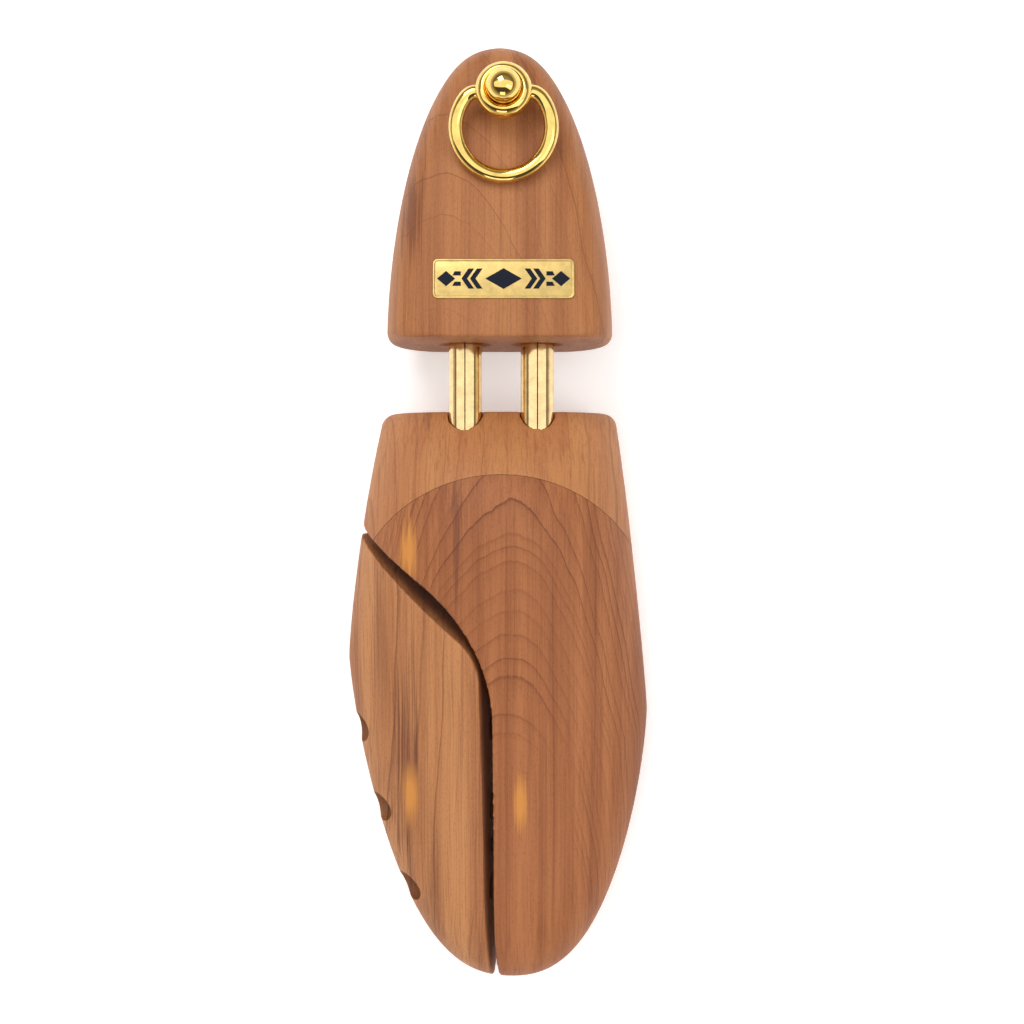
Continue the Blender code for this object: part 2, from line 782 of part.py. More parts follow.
def make_knob(frame):
    outline = ball_profile() + [(r, h) for h, r in KNOB_BODY] + [(0.0, KNOB_BODY[-1][0])]
    knob = as_part(turned("ring_knob", outline), brass("brass_knob"))
    knob.matrix_world = frame
    half = BEYOND / 2 + KNOB_REACH
    ends = (-half, 0, CROSS_BORE_HEIGHT), (half, 0, CROSS_BORE_HEIGHT)
    bore = rod("cross_bore", *ends, RING_WIRE + RUNNING)
    bore.matrix_world = frame @ Matrix.Translation(bore.location) @ Matrix.Rotation(math.pi / 2, 4, "Y")
    socket = rod("knob_socket", (0, 0, -BEYOND), (0, 0, BOLT_TOP + GAP), BOLT_RADIUS + GAP)
    socket.matrix_world = frame @ Matrix.Translation(socket.location)
    for cutter in (bore, socket):
        boolean(knob, as_cutter(cutter))
    bolt = rod("knob_hanger_bolt", (0, 0, BOLT_BOTTOM), (0, 0, BOLT_TOP), BOLT_RADIUS)
    bolt.matrix_world = frame @ Matrix.Translation(bolt.location)
    as_part(bolt, steel("hanger_bolt"))


def ring_path(steps=32):
    """The ring's centre line in its own plane: it hangs along -Y from ends that lie on the X axis."""
    depth = math.sqrt(RING_RADIUS**2 - RING_NECK**2)
    start = math.asin(RING_NECK / RING_RADIUS)
    sweep = 2 * math.pi - 2 * start
    turns = [start + sweep * i / steps for i in range(steps + 1)]
    arc = [
        Vector((RING_RADIUS * math.sin(a), RING_RADIUS * math.cos(a) - depth, 0.0)) for a in turns
    ]
    return [Vector((RING_END, 0, 0)), *arc, Vector((-RING_END, 0, 0))]


def make_ring(frame):
    """The ring lies on the wood towards the toe. Its origin is on the axis of the cross bore."""
    depth = math.sqrt(RING_RADIUS**2 - RING_NECK**2)
    above = CROSS_BORE_HEIGHT - RING_WIRE - RING_REST_GAP - KNOB_SINK
    tilt = math.asin(above / (depth + RING_RADIUS))
    ring = as_part(wire("pull_ring", ring_path(), RING_WIRE, 3), brass("brass_ring"))
    ring.matrix_world = (
        frame @ Matrix.Translation((0, 0, CROSS_BORE_HEIGHT)) @ Matrix.Rotation(tilt, 4, "X")
    )


def mark_outline(grow=0.0):
    """A plain ornament: a bar with a diamond in its middle."""
    half, bar = MARK_LENGTH / 2 + grow, MARK_BAR / 2 + grow
    wide, high = MARK_DIAMOND[0] / 2 + grow * 2, MARK_DIAMOND[1] / 2 + grow * 1.4
    meet = wide * (1 - bar / high)
    right = [(half, -bar), (half, bar), (meet, bar), (0.0, high)]
    left = [(-meet, bar), (-half, bar), (-half, -bar), (-meet, -bar), (0.0, -high), (meet, -bar)]
    return [Vector(point) for point in right + left]


def make_plate():
    plate = as_part(rounded_slab("name_plate", PLATE_SIZE, PLATE_CORNER), brass("brass_plate"))
    plate.matrix_world = heel_top_frame(FITTING_X, PLATE_Y, PLATE_PROUD)
    pocket = prism("mark_pocket", mark_outline(RUNNING), -MARK_DEPTH, BEYOND)
    pocket.matrix_world = plate.matrix_world.copy()
    boolean(plate, as_cutter(pocket))
    mark = prism("plate_enamel", mark_outline(), RUNNING - MARK_DEPTH, MARK_PROUD)
    mark.matrix_world = plate.matrix_world.copy()
    as_part(mark, finish_material("enamel", ENAMEL, 0.25, 0.0), smooth=0)


make_forefoot()
make_side_piece()
make_heel_block()
for tube_side, tube_x in tube_sides().items():
    make_tube_set(tube_side, tube_x)
for pin_name, pin_y in PINS.items():
    make_guide_pin(pin_name, pin_y)
KNOB_FRAME = heel_top_frame(FITTING_X, KNOB_Y, -KNOB_SINK)
make_knob(KNOB_FRAME)
make_ring(KNOB_FRAME)
make_plate()
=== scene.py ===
"""The looks of a sprung cedar shoe tree with brass fittings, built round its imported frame.

Lengths are in metres in the frame's own axes: the toe is along -Y, the heel along +Y, +Z is up.
"""

import json
import math
from collections import namedtuple

import bmesh
import bpy
from mathutils import Matrix, Vector


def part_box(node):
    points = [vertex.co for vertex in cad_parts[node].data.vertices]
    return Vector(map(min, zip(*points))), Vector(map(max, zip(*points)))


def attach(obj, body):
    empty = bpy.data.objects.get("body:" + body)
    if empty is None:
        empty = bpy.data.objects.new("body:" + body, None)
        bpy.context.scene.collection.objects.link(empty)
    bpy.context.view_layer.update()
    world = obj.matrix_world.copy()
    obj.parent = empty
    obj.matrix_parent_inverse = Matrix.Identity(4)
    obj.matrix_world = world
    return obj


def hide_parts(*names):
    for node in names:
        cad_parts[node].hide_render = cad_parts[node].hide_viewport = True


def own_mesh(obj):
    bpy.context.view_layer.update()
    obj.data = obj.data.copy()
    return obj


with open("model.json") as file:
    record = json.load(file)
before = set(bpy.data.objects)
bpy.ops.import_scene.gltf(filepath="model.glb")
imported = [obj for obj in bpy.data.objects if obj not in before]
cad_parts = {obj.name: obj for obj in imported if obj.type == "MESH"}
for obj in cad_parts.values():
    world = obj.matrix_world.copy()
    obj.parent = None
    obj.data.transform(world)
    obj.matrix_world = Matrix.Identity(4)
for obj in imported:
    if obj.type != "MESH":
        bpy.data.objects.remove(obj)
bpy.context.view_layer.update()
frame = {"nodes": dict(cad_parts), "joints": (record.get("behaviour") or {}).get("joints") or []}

MM = 0.001
JOINTS = {joint["name"]: joint for joint in frame["joints"]}


def low(node):
    return Vector(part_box(node)[0])


def high(node):
    return Vector(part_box(node)[1])


# Places and travels read from the frame
TOE_Y = low("toe_block").y
FOREFOOT_REAR = high("instep_block").y
HEEL_FRONT = low("heel_block").y
HEEL_TIP = high("heel_block").y
HEEL_TOP = high("heel_block").z
TUBES = {side: (low(f"tube_{side}") + high(f"tube_{side}")) / 2 for side in ("lateral", "medial")}
TUBE_RADIUS = (high("tube_medial").x - low("tube_medial").x) / 2
TUBE_FRONT = low("tube_medial").y
TUBE_REAR = high("tube_medial").y
TUBE_Z = TUBES["medial"].z
RING_AXIS = Vector(JOINTS["ring_swing"]["pos_m"])
FITTING_X = RING_AXIS.x
PINS = {end: (low(f"guide_pin_{end}") + high(f"guide_pin_{end}")) / 2 for end in ("rear", "front")}
HEEL_TRAVEL = JOINTS["heel_slide"]["range_m"][1]
SIDE_TRAVEL = JOINTS["side_slide"]["range_m"][1]

# Forefoot: a blunt superellipse quadrant on each side of the toe, then a taper. CROWN is how high the
# ridge is at places along Y. Each ROUND is the two powers of a section's upper curve
TOE_X = 0.004
REAR_CORNER = 0.0035
Edge = namedtuple("Edge", "width reach lengthwise crosswise taper ease")
LATERAL = Edge(0.0497, 0.099, 1.30, 2.50, 0.0105, 1.35)
MEDIAL = Edge(0.0413, 0.083, 1.50, 2.50, 0.0097, 1.15)
CROWN = (
    (-0.1400, 0.0235),
    (-0.1123, 0.0262),
    (-0.0823, 0.0302),
    (-0.0473, 0.0370),
    (-0.0223, 0.0420),
    (-0.0013, 0.0450),
    (0.0097, 0.0438),
    (0.0187, 0.0396),
    (0.0277, 0.0322),
    (0.0327, 0.0270),
)
RIDGE_SHIFT = 0.04
WIDEST_SHARE = 0.40
TOE_CAP = 0.030
TOE_UNDERCUT = 0.018
TOE_SPRING = 0.003
TOE_SPRING_START = -0.0923
CROWN_ROUND = (2.3, 1.55)
REAR_ROUND = (3.6, 1.8)
REAR_ROUND_START = 0.0087
FOREFOOT_FLAT = 0.62

# Heel block
HEEL_X = (low("heel_block").x + high("heel_block").x) / 2
HEEL_HALF_WIDTH = 0.0335
HEEL_OUTLINE = (1.80, 2.25)
HEEL_SLOPE = math.radians(4.5)
HEEL_WIDEST = 0.024
HEEL_ROUND = (9.0, 2.4)
HEEL_SHOULDER = 0.010
HEEL_UNDERCUT = 0.022
HEEL_CORNER = 0.0028
HEEL_FLAT = 0.55
RELIEF_RADIUS = 0.0078
RELIEF_DEPTH = 0.0028
RELIEF_PAST = 0.002

# Seam and slot. The slot's edges are given at SLOT_LEVEL, and its walls slant. SEAM_STOCK is the wood
# left past the seam until the last cut. VENTS are the (y, z) of the vent holes
SEAM_X = 0.0008
SEAM_REAR = 0.0136
SEAM_RADIUS = 0.0475
SEAM_GAP = 0.00010
SLOT_LEVEL = 0.037
SLOT_SLANT = Vector((0.185, 0.082))
SLOT_TOE_END = -0.160
MAIN_EDGE = (Vector((-0.0640, 0.0114)), Vector((-0.0019, -0.0338)), Vector((-0.0048, SLOT_TOE_END)))
MAIN_RADIUS = 0.050
SIDE_EDGE = (Vector((-0.0700, 0.0168)), Vector((-0.0059, -0.0406)), Vector((-0.0068, SLOT_TOE_END)))
SIDE_RADIUS = 0.017
SLOT_OUTSIDE = -0.090
SLOT_TOP = 0.055
SLOT_FOOT = -0.005
SEAM_STOCK = 0.0015
SIDE_PIECE_SPAN = (-0.06, 0.01)
VENT_RADIUS = 0.0044
VENTS = ((-0.0628, 0.0150), (-0.0872, 0.0140), (-0.1116, 0.0130))
POCKET_RADIUS = 0.0040
POCKET_END = 0.0080
POCKET_CUTTER = 0.05
PIN_BORE = 0.0021
PIN_SOCKET = 0.0022
PIN_END_ROOM = 0.001

# Tubes, brads and springs
TUBE_WALL = 0.0008
TUBE_SEAM = 0.00016
TUBE_LIP = 0.00022
LIP_SPREAD = 0.4
LIP_LEAN = 0.02
TUBE_CHAMFER = 0.00025
BORE_FRONT = -0.0203
SLIDING_ROOM = 0.0002
SEAT_ROOM = 0.0003
BRAD_WAY = 0.0013
SLOT_CUTTER = 0.003
BRAD_HOLES = {"stop_brad": 0.0013, "pin_brad": 0.0011, "heel_brad": 0.0013}
SPRING_RADIUS = 0.0028
SPRING_TURNS = 11
SIDE_SPRING_RADIUS = 0.0030
SIDE_SPRING_TURNS = 4
SPRING_WIRE = 0.0009
CLOSED_TURN = 1.15

# Knob, ring and plate. The knob's body is (height, radius) from the ball down to its foot
KNOB_SINK = 0.0004
KNOB_BODY = (
    (0.0116, 0.0045),
    (0.0121, 0.0049),
    (0.0126, 0.0056),
    (0.0126, 0.0064),
    (0.0119, 0.0073),
    (0.0108, 0.0079),
    (0.0094, 0.0081),
    (0.0078, 0.0078),
    (0.0060, 0.0070),
    (0.0042, 0.0062),
    (0.0026, 0.0057),
    (0.0014, 0.0056),
    (0.0009, 0.0058),
    (0.0000, 0.0058),
)
BALL_HEIGHT = 0.0138
BALL_RADIUS = 0.0050
CROSS_BORE_HEIGHT = 0.0076
CROSS_BORE_REACH = 0.012
CROSS_BORE_ROOM = 0.0001
RING_RADIUS = 0.0136
RING_WIRE = 0.0021
RING_NECK = 0.0094
RING_BEND = 0.0016
RING_END = 0.0024
RING_REST_GAP = 0.00015
PLATE_Y = 0.0692
PLATE_SIZE = (0.0404, 0.0114)
PLATE_CORNER = 0.0015
PLATE_PROUD = 0.0004
PLATE_SINK = 0.0006

# Ornament on the plate: places along it from its middle, and half sizes. A chevron's size is its half
# height, how thick its arms are and how far its point reaches
BIG_LOZENGE = (0.0052, 0.0030)
CHEVRON_PLACES = (0.0068, 0.0092)
CHEVRON_SIZE = (0.0029, 0.0016, 0.0020)
BAR_SPAN = (0.0122, 0.0146)
BAR_OFFSET = 0.0015
BAR_HALF = 0.0006
END_LOZENGE_PLACE = 0.0164
END_LOZENGE = (0.0026, 0.0022)
ENAMEL_DEPTH = 0.00030
ENAMEL_PROUD = 0.00002

# Fineness of the wooden pieces' remeshes, and how often each is smoothed
VOXELS = {"instep": 0.00042, "toe": 0.00056, "side": 0.00046, "heel": 0.00056}
ROUNDS = {"instep": 3, "toe": 3, "side": 3, "heel": 2}
COARSER = 1.0

# Cutters run past the wood by this much
PAST = 0.01
# Turned bodies and rods are rolled a little, so that none of their corners lie on a plane of symmetry
ROLL = 0.04


# Objects


def link(obj):
    bpy.context.scene.collection.objects.link(obj)
    return obj


def mesh_object(name, bm):
    bmesh.ops.recalc_face_normals(bm, faces=bm.faces)
    mesh = bpy.data.meshes.new(name)
    bm.to_mesh(mesh)
    bm.free()
    return link(bpy.data.objects.new(name, mesh))


def shade(mesh, degrees):
    """Smooth shading, with sharp edges past an angle."""
    mesh.shade_smooth()
    mesh.set_sharp_from_angle(angle=math.radians(degrees))


def baked(obj):
    """Replaces an object's mesh, or curve, by its evaluated mesh, in the frame's own axes."""
    bpy.context.view_layer.update()
    mesh = bpy.data.meshes.new_from_object(obj.evaluated_get(bpy.context.evaluated_depsgraph_get()))
    mesh.transform(obj.matrix_world)
    made = link(bpy.data.objects.new(obj.name + "_baked", mesh))
    name = obj.name
    bpy.data.objects.remove(obj)
    made.name = name
    mesh.name = name
    return made


def cut(obj, cutters, operation="DIFFERENCE"):
    """Cuts an object with other objects, which are used up."""
    for cutter in cutters:
        mod = obj.modifiers.new(cutter.name, "BOOLEAN")
        mod.object = cutter
        mod.operation = operation
        mod.solver = "EXACT"
    made = baked(obj)
    for cutter in cutters:
        bpy.data.objects.remove(cutter)
    return made


def rod(name, start, end, radius, segments=48):
    """A round bar between two points."""
    start, end = Vector(start), Vector(end)
    bm = bmesh.new()
    bmesh.ops.create_cone(
        bm, cap_ends=True, segments=segments, radius1=radius, radius2=radius, depth=(end - start).length
    )
    bmesh.ops.rotate(bm, verts=bm.verts, matrix=Matrix.Rotation(ROLL, 3, "Z"))
    obj = mesh_object(name, bm)
    turn = (end - start).to_track_quat("Z", "Y").to_matrix().to_4x4()
    obj.matrix_world = Matrix.Translation((start + end) / 2) @ turn
    return obj


def turned(name, profile, steps=96):
    """A body turned about Z, from (radius, height) points that run down its outer side."""
    bm = bmesh.new()
    row = [bm.verts.new((r, 0, z)) for r, z in profile]
    for pair in zip(row, row[1:]):
        bm.edges.new(pair)
    mesh = bpy.data.meshes.new(name)
    bm.to_mesh(mesh)
    bm.free()
    obj = link(bpy.data.objects.new(name, mesh))
    screw = obj.modifiers.new("turn", "SCREW")
    screw.steps = steps
    screw.render_steps = steps
    screw.use_merge_vertices = True
    screw.merge_threshold = 0.000005
    return obj


def along(obj, start, direction):
    """Places an object with its foot at the start and its Z axis along a direction."""
    turn = Vector(direction).to_track_quat("Z", "Y").to_matrix().to_4x4()
    obj.matrix_world = Matrix.Translation(start) @ turn @ Matrix.Rotation(ROLL, 4, "Z")
    return obj


def wire(name, points, radius, sides=4):
    """A round wire along a path."""
    curve = bpy.data.curves.new(name, "CURVE")
    curve.dimensions = "3D"
    curve.bevel_depth = radius
    curve.bevel_resolution = sides
    curve.use_fill_caps = True
    spline = curve.splines.new("POLY")
    spline.points.add(len(points) - 1)
    for slot, point in zip(spline.points, points):
        slot.co = (*point, 1.0)
    return link(bpy.data.objects.new(name, curve))


def prism(name, outline, bottom, top, slant=Vector((0.0, 0.0)), level=0.0):
    """A flat outline drawn up from bottom to top. A slanted one has its outline at a level."""
    bm = bmesh.new()
    foot = [Vector(point) + slant * (level - bottom) for point in outline]
    bm.faces.new([bm.verts.new((*point, bottom)) for point in foot])
    grown = bmesh.ops.extrude_face_region(bm, geom=list(bm.faces))["geom"]
    height = top - bottom
    lift = Vector((*(-slant * height), height))
    bmesh.ops.translate(bm, verts=[v for v in grown if isinstance(v, bmesh.types.BMVert)], vec=lift)
    return mesh_object(name, bm)


def bridge(bm, rows):
    """Faces from each closed row of corners to the next."""
    count = len(rows[0])
    for near, far in zip(rows, rows[1:]):
        for i in range(count):
            j = (i + 1) % count
            bm.faces.new((near[i], near[j], far[j], far[i]))


def sanded(obj, kind):
    """Remeshes a wooden piece finely and breaks its sharp edges, as sanding does."""
    remesh = obj.modifiers.new("fine", "REMESH")
    remesh.mode = "VOXEL"
    remesh.voxel_size = VOXELS[kind] * COARSER
    soften = obj.modifiers.new("sanded", "SMOOTH")
    soften.factor = 0.5
    soften.iterations = ROUNDS[kind]
    return baked(obj)


# Curves that the shapes follow


def smooth_height(points, at):
    """The height at a place of a smooth curve through (place, height) points."""
    spots = [p[0] for p in points]
    heights = [p[1] for p in points]
    i = max(1, min(len(points) - 1, sum(s < at for s in spots)))
    rises = [(heights[k + 1] - heights[k]) / (spots[k + 1] - spots[k]) for k in range(len(points) - 1)]
    slopes = [rises[0], *((a + b) / 2 for a, b in zip(rises, rises[1:])), rises[-1]]
    span = spots[i] - spots[i - 1]
    t = (at - spots[i - 1]) / span
    start = (1 + 2 * t) * (1 - t) ** 2 * heights[i - 1] + t * (1 - t) ** 2 * span * slopes[i - 1]
    end = t * t * (3 - 2 * t) * heights[i] - t * t * (1 - t) * span * slopes[i]
    return start + end


def quadrant(distance, reach, lengthwise=2.0, crosswise=2.0):
    """A superellipse quadrant: zero at no distance and one from the reach on."""
    left = max(0.0, 1.0 - distance / reach)
    return (1.0 - left**lengthwise) ** (1.0 / crosswise)


def half_width(edge, distance, length):
    """The forefoot's width on one side of its toe point, at a distance from the toe."""
    if distance < edge.reach:
        return edge.width * quadrant(distance, edge.reach, edge.lengthwise, edge.crosswise)
    return edge.width - edge.taper * ((distance - edge.reach) / (length - edge.reach)) ** edge.ease


def corner_inset(distance, radius):
    """How far a rounded corner draws an edge in, at a distance from the end."""
    left = max(0.0, radius - distance)
    return radius - math.sqrt(radius**2 - left**2)


def blend(a, b, share):
    return a + (b - a) * max(0.0, min(1.0, share))


# Lofts. A section is the outline at one place along Y, as a loop of (x, z)

Section = namedtuple("Section", "left right ridge bottom widest top round flat")


def section_loop(piece, over, under):
    """A section's outline: a superellipse above its widest level and a flat-bottomed quarter below."""
    loop = []
    for i in range(over + 1):
        u = math.cos(math.pi * i / over)
        reach = piece.right - piece.ridge if u > 0 else piece.ridge - piece.left
        rise = (1.0 - abs(u) ** piece.round[0]) ** (1.0 / piece.round[1])
        loop.append((piece.ridge + u * reach, piece.widest + (piece.top - piece.widest) * rise))
    for side, turns in ((piece.left, range(1, under + 1)), (piece.right, range(under, 0, -1))):
        for i in turns:
            turn = math.pi / 2 * i / under
            across = piece.flat + (1.0 - piece.flat) * math.cos(turn)
            drop = (piece.widest - piece.bottom) * math.sin(turn)
            loop.append((piece.ridge + (side - piece.ridge) * across, piece.widest - drop))
    return loop


def loft(name, tip, places, section, over=72, under=14):
    """A solid from a tip through the sections at the places."""
    bm = bmesh.new()
    point = bm.verts.new(tip)
    rows = []
    for y in places:
        rows.append([bm.verts.new((x, y, z)) for x, z in section_loop(section(y), over, under)])
    count = len(rows[0])
    for i in range(count):
        j = (i + 1) % count
        bm.faces.new((point, rows[0][j], rows[0][i]))
        for near, far in zip(rows, rows[1:]):
            bm.faces.new((near[i], near[j], far[j], far[i]))
    bm.faces.new(rows[-1])
    return mesh_object(name, bm)


def forefoot_section(y):
    distance = y - TOE_Y
    length = FOREFOOT_REAR - TOE_Y
    inset = corner_inset(FOREFOOT_REAR - y, REAR_CORNER)
    left = TOE_X - half_width(LATERAL, distance, length) + inset
    right = TOE_X + half_width(MEDIAL, distance, length) - inset
    crown = smooth_height(CROWN, y)
    widest = WIDEST_SHARE * crown
    spring = TOE_SPRING * max(0.0, (TOE_SPRING_START - y) / (TOE_SPRING_START - TOE_Y)) ** 2
    back = (y - REAR_ROUND_START) / (FOREFOOT_REAR - REAR_ROUND_START)
    return Section(
        left,
        right,
        (left + right) / 2 + RIDGE_SHIFT * (right - left),
        blend(widest, spring, quadrant(distance, TOE_UNDERCUT)),
        widest,
        blend(widest, crown, quadrant(distance, TOE_CAP, crosswise=2.2)),
        tuple(blend(a, b, back) for a, b in zip(CROWN_ROUND, REAR_ROUND)),
        FOREFOOT_FLAT,
    )


def heel_height(y):
    return HEEL_TOP - math.tan(HEEL_SLOPE) * (y - HEEL_FRONT)


def heel_section(y):
    distance = HEEL_TIP - y
    width = HEEL_HALF_WIDTH * quadrant(distance, HEEL_TIP - HEEL_FRONT, *HEEL_OUTLINE)
    width -= corner_inset(y - HEEL_FRONT, HEEL_CORNER)
    squareness, fullness = HEEL_ROUND
    return Section(
        HEEL_X - width,
        HEEL_X + width,
        HEEL_X,
        blend(HEEL_WIDEST, 0.0, quadrant(distance, HEEL_UNDERCUT)),
        HEEL_WIDEST,
        blend(HEEL_WIDEST, heel_height(y), quadrant(distance, HEEL_SHOULDER, 2.4, 2.4)),
        (max(2.0, squareness * width / HEEL_HALF_WIDTH), fullness),
        HEEL_FLAT,
    )


def places_along(tip, end, count, corner):
    """Places for sections, closer together near the tip and in the corner at the end."""
    way = math.copysign(1.0, end - tip)
    body = abs(end - tip) - corner
    places = [tip + way * body * (i / count) ** 2 for i in range(1, count + 1)]
    return places + [end - way * corner * (1 - i / 8) ** 2 for i in range(1, 9)]


def forefoot_solid(name):
    tip = (TOE_X, TOE_Y, WIDEST_SHARE * CROWN[0][1])
    return loft(name, tip, places_along(TOE_Y, FOREFOOT_REAR, 110, REAR_CORNER), forefoot_section)


# Cutters


def rounded_corner(before, corner, after, radius, steps=24):
    """Points on the arc that rounds the corner of a path through three points."""
    into, out = (corner - before).normalized(), (after - corner).normalized()
    turn = into.angle_signed(out)
    reach = radius * math.tan(abs(turn) / 2)
    centre = corner - into * reach + Vector((into.y, -into.x)) * math.copysign(radius, turn)
    arm = corner - into * reach - centre
    return [centre + Matrix.Rotation(-turn * i / steps, 2) @ arm for i in range(steps + 1)]


def outside_slot(name, edge, radius):
    """The region on the lateral side of a slanting slot edge."""
    path = [edge[0], *rounded_corner(*edge, radius), edge[2]]
    corners = [Vector((SLOT_OUTSIDE, path[-1].y)), Vector((SLOT_OUTSIDE, path[0].y))]
    return prism(name, corners + path, SLOT_FOOT, SLOT_TOP, SLOT_SLANT, SLOT_LEVEL)


def before_seam(name, grow, steps=120):
    """The region on the toe side of the seam: a half disc, and all that lies before it."""
    radius = SEAM_RADIUS + grow
    middle = Vector((SEAM_X, SEAM_REAR - SEAM_RADIUS))
    turns = [math.pi * i / steps for i in range(steps + 1)]
    arc = [middle + radius * Vector((math.cos(turn), math.sin(turn))) for turn in turns]
    front = [Vector((arc[-1].x, SLOT_TOE_END)), Vector((arc[0].x, SLOT_TOE_END))]
    return prism(name, arc + front, SLOT_FOOT, SLOT_TOP)


def forefoot_bores():
    made = []
    for side, middle in TUBES.items():
        start, end = (middle.x, BORE_FRONT, TUBE_Z), (middle.x, FOREFOOT_REAR + PAST, TUBE_Z)
        made.append(rod(f"bore_{side}", start, end, TUBE_RADIUS + SLIDING_ROOM))
    return made


def brad_holes(kind):
    """The holes that the brads of a kind went in by, from the underside."""
    made = []
    for name in [n for n in frame["nodes"] if n.startswith(kind)]:
        middle, top = (low(name) + high(name)) / 2, high(name).z
        start, end = (middle.x, middle.y, -PAST), (middle.x, middle.y, top)
        made.append(rod(f"hole_{name}", start, end, BRAD_HOLES[kind]))
    return made


# Wooden pieces


def make_forefoot_half(kind, operation, side):
    """The forefoot without the side piece, up to the seam: side is 1 behind it and -1 before it.

    The seam is cut last, so that sanding doesn't round its edge.
    """
    block = forefoot_solid(f"cedar_{kind}_block")
    block = cut(block, [before_seam("rough", -side * SEAM_STOCK)], operation)
    block = cut(block, [outside_slot("slot_region", MAIN_EDGE, MAIN_RADIUS), *forefoot_bores()])
    return cut(sanded(block, kind), [before_seam("seam", side * SEAM_GAP / 2)], operation)


def make_instep():
    block = make_forefoot_half("instep", "DIFFERENCE", 1)
    shade(block.data, 50)
    return block


def make_toe():
    block = make_forefoot_half("toe", "INTERSECT", -1)
    cutters = [*brad_holes("stop_brad"), *brad_holes("pin_brad")]
    for end, pin in PINS.items():
        bottom = high(f"guide_pin_{end}").x + SIDE_TRAVEL + PIN_END_ROOM
        outline = (
            (0.0, POCKET_CUTTER),
            (POCKET_RADIUS, POCKET_CUTTER),
            (POCKET_RADIUS, bottom - POCKET_END),
            (PIN_BORE, bottom - POCKET_END),
            (PIN_BORE, 0.0),
            (0.0, 0.0),
        )
        cutters.append(along(turned(f"pocket_{end}", outline, 32), (bottom, pin.y, pin.z), (-1, 0, 0)))
    block = cut(block, cutters)
    shade(block.data, 50)
    return block


def make_side():
    region = outside_slot("side_region", SIDE_EDGE, SIDE_RADIUS)
    block = sanded(cut(forefoot_solid("cedar_side_piece"), [region], "INTERSECT"), "side")
    outside, inside = SIDE_PIECE_SPAN
    cutters = []
    for i, (y, z) in enumerate(VENTS):
        cutters.append(rod(f"vent_{i}", (outside, y, z), (inside, y, z), VENT_RADIUS, 64))
    for end, pin in PINS.items():
        start = (low(f"guide_pin_{end}").x - SEAT_ROOM, pin.y, pin.z)
        cutters.append(rod(f"socket_{end}", start, (inside, pin.y, pin.z), PIN_SOCKET))
    block = cut(block, cutters)
    shade(block.data, 50)
    return block


def make_heel():
    tip = (HEEL_X, HEEL_TIP, HEEL_WIDEST)
    places = places_along(HEEL_TIP, HEEL_FRONT, 80, HEEL_CORNER)
    block = sanded(loft("cedar_heel_block", tip, places, heel_section), "heel")
    depth = TUBE_REAR + SEAT_ROOM - HEEL_FRONT
    slope = (RELIEF_RADIUS - TUBE_RADIUS) / RELIEF_DEPTH
    outline = (
        (0.0, depth + RELIEF_PAST),
        (RELIEF_RADIUS + slope * RELIEF_PAST, depth + RELIEF_PAST),
        (TUBE_RADIUS + SEAT_ROOM, depth - RELIEF_DEPTH),
        (TUBE_RADIUS + SEAT_ROOM, 0.0),
        (0.0, 0.0),
    )
    cutters = brad_holes("heel_brad")
    for side, middle in TUBES.items():
        start = (middle.x, TUBE_REAR + SEAT_ROOM, TUBE_Z)
        cutters.append(along(turned(f"heel_bore_{side}", outline, 64), start, (0, -1, 0)))
    block = cut(block, cutters)
    shade(block.data, 50)
    return block


# Brass and steel


def heel_top_frame(x, y):
    """A frame on the heel's sloping top, with Z straight up from the wood."""
    return Matrix.Translation((x, y, heel_height(y))) @ Matrix.Rotation(-HEEL_SLOPE, 4, "X")


def knob_frame():
    """The knob's own frame: its foot on the wood, Z up its axis, through the ring's hinge."""
    up = Vector((0, math.sin(HEEL_SLOPE), math.cos(HEEL_SLOPE)))
    foot = RING_AXIS - up * CROSS_BORE_HEIGHT
    return Matrix.Translation(foot) @ Matrix.Rotation(-HEEL_SLOPE, 4, "X")


def spline_through(points, steps):
    """Points on a smooth curve through 2-D points (Catmull-Rom)."""
    row = [points[0], *points, points[-1]]
    made = []
    for a, b, c, d in zip(row, row[1:], row[2:], row[3:]):
        for i in range(steps):
            t = i / steps
            weights = (
                -0.5 * t + t * t - 0.5 * t**3,
                1 - 2.5 * t * t + 1.5 * t**3,
                0.5 * t + 2 * t * t - 1.5 * t**3,
                -0.5 * t * t + 0.5 * t**3,
            )
            made.append(tuple(sum(w * p[k] for w, p in zip(weights, (a, b, c, d))) for k in (0, 1)))
    return made + [points[-1]]


def make_knob():
    """The ball, its body below and the cross bore that the ring turns in."""
    lowest = math.pi - math.asin(KNOB_BODY[0][1] / BALL_RADIUS)
    ball = [lowest * i / 24 for i in range(24)]
    outline = [(BALL_RADIUS * math.sin(a), BALL_HEIGHT + BALL_RADIUS * math.cos(a)) for a in ball]
    body = spline_through([(r, h) for h, r in KNOB_BODY[:-1]], 5)
    outline += body + [(KNOB_BODY[-1][1], KNOB_BODY[-1][0]), (0.0, KNOB_BODY[-1][0])]
    knob = turned("brass_knob", outline)
    ends = [(reach, 0, CROSS_BORE_HEIGHT) for reach in (-CROSS_BORE_REACH, CROSS_BORE_REACH)]
    bore = rod("cross_bore", *ends, RING_WIRE + CROSS_BORE_ROOM)
    bpy.context.view_layer.update()
    bore.matrix_world = knob_frame() @ bore.matrix_world
    knob.matrix_world = knob_frame()
    knob = cut(knob, [bore])
    shade(knob.data, 30)
    return knob


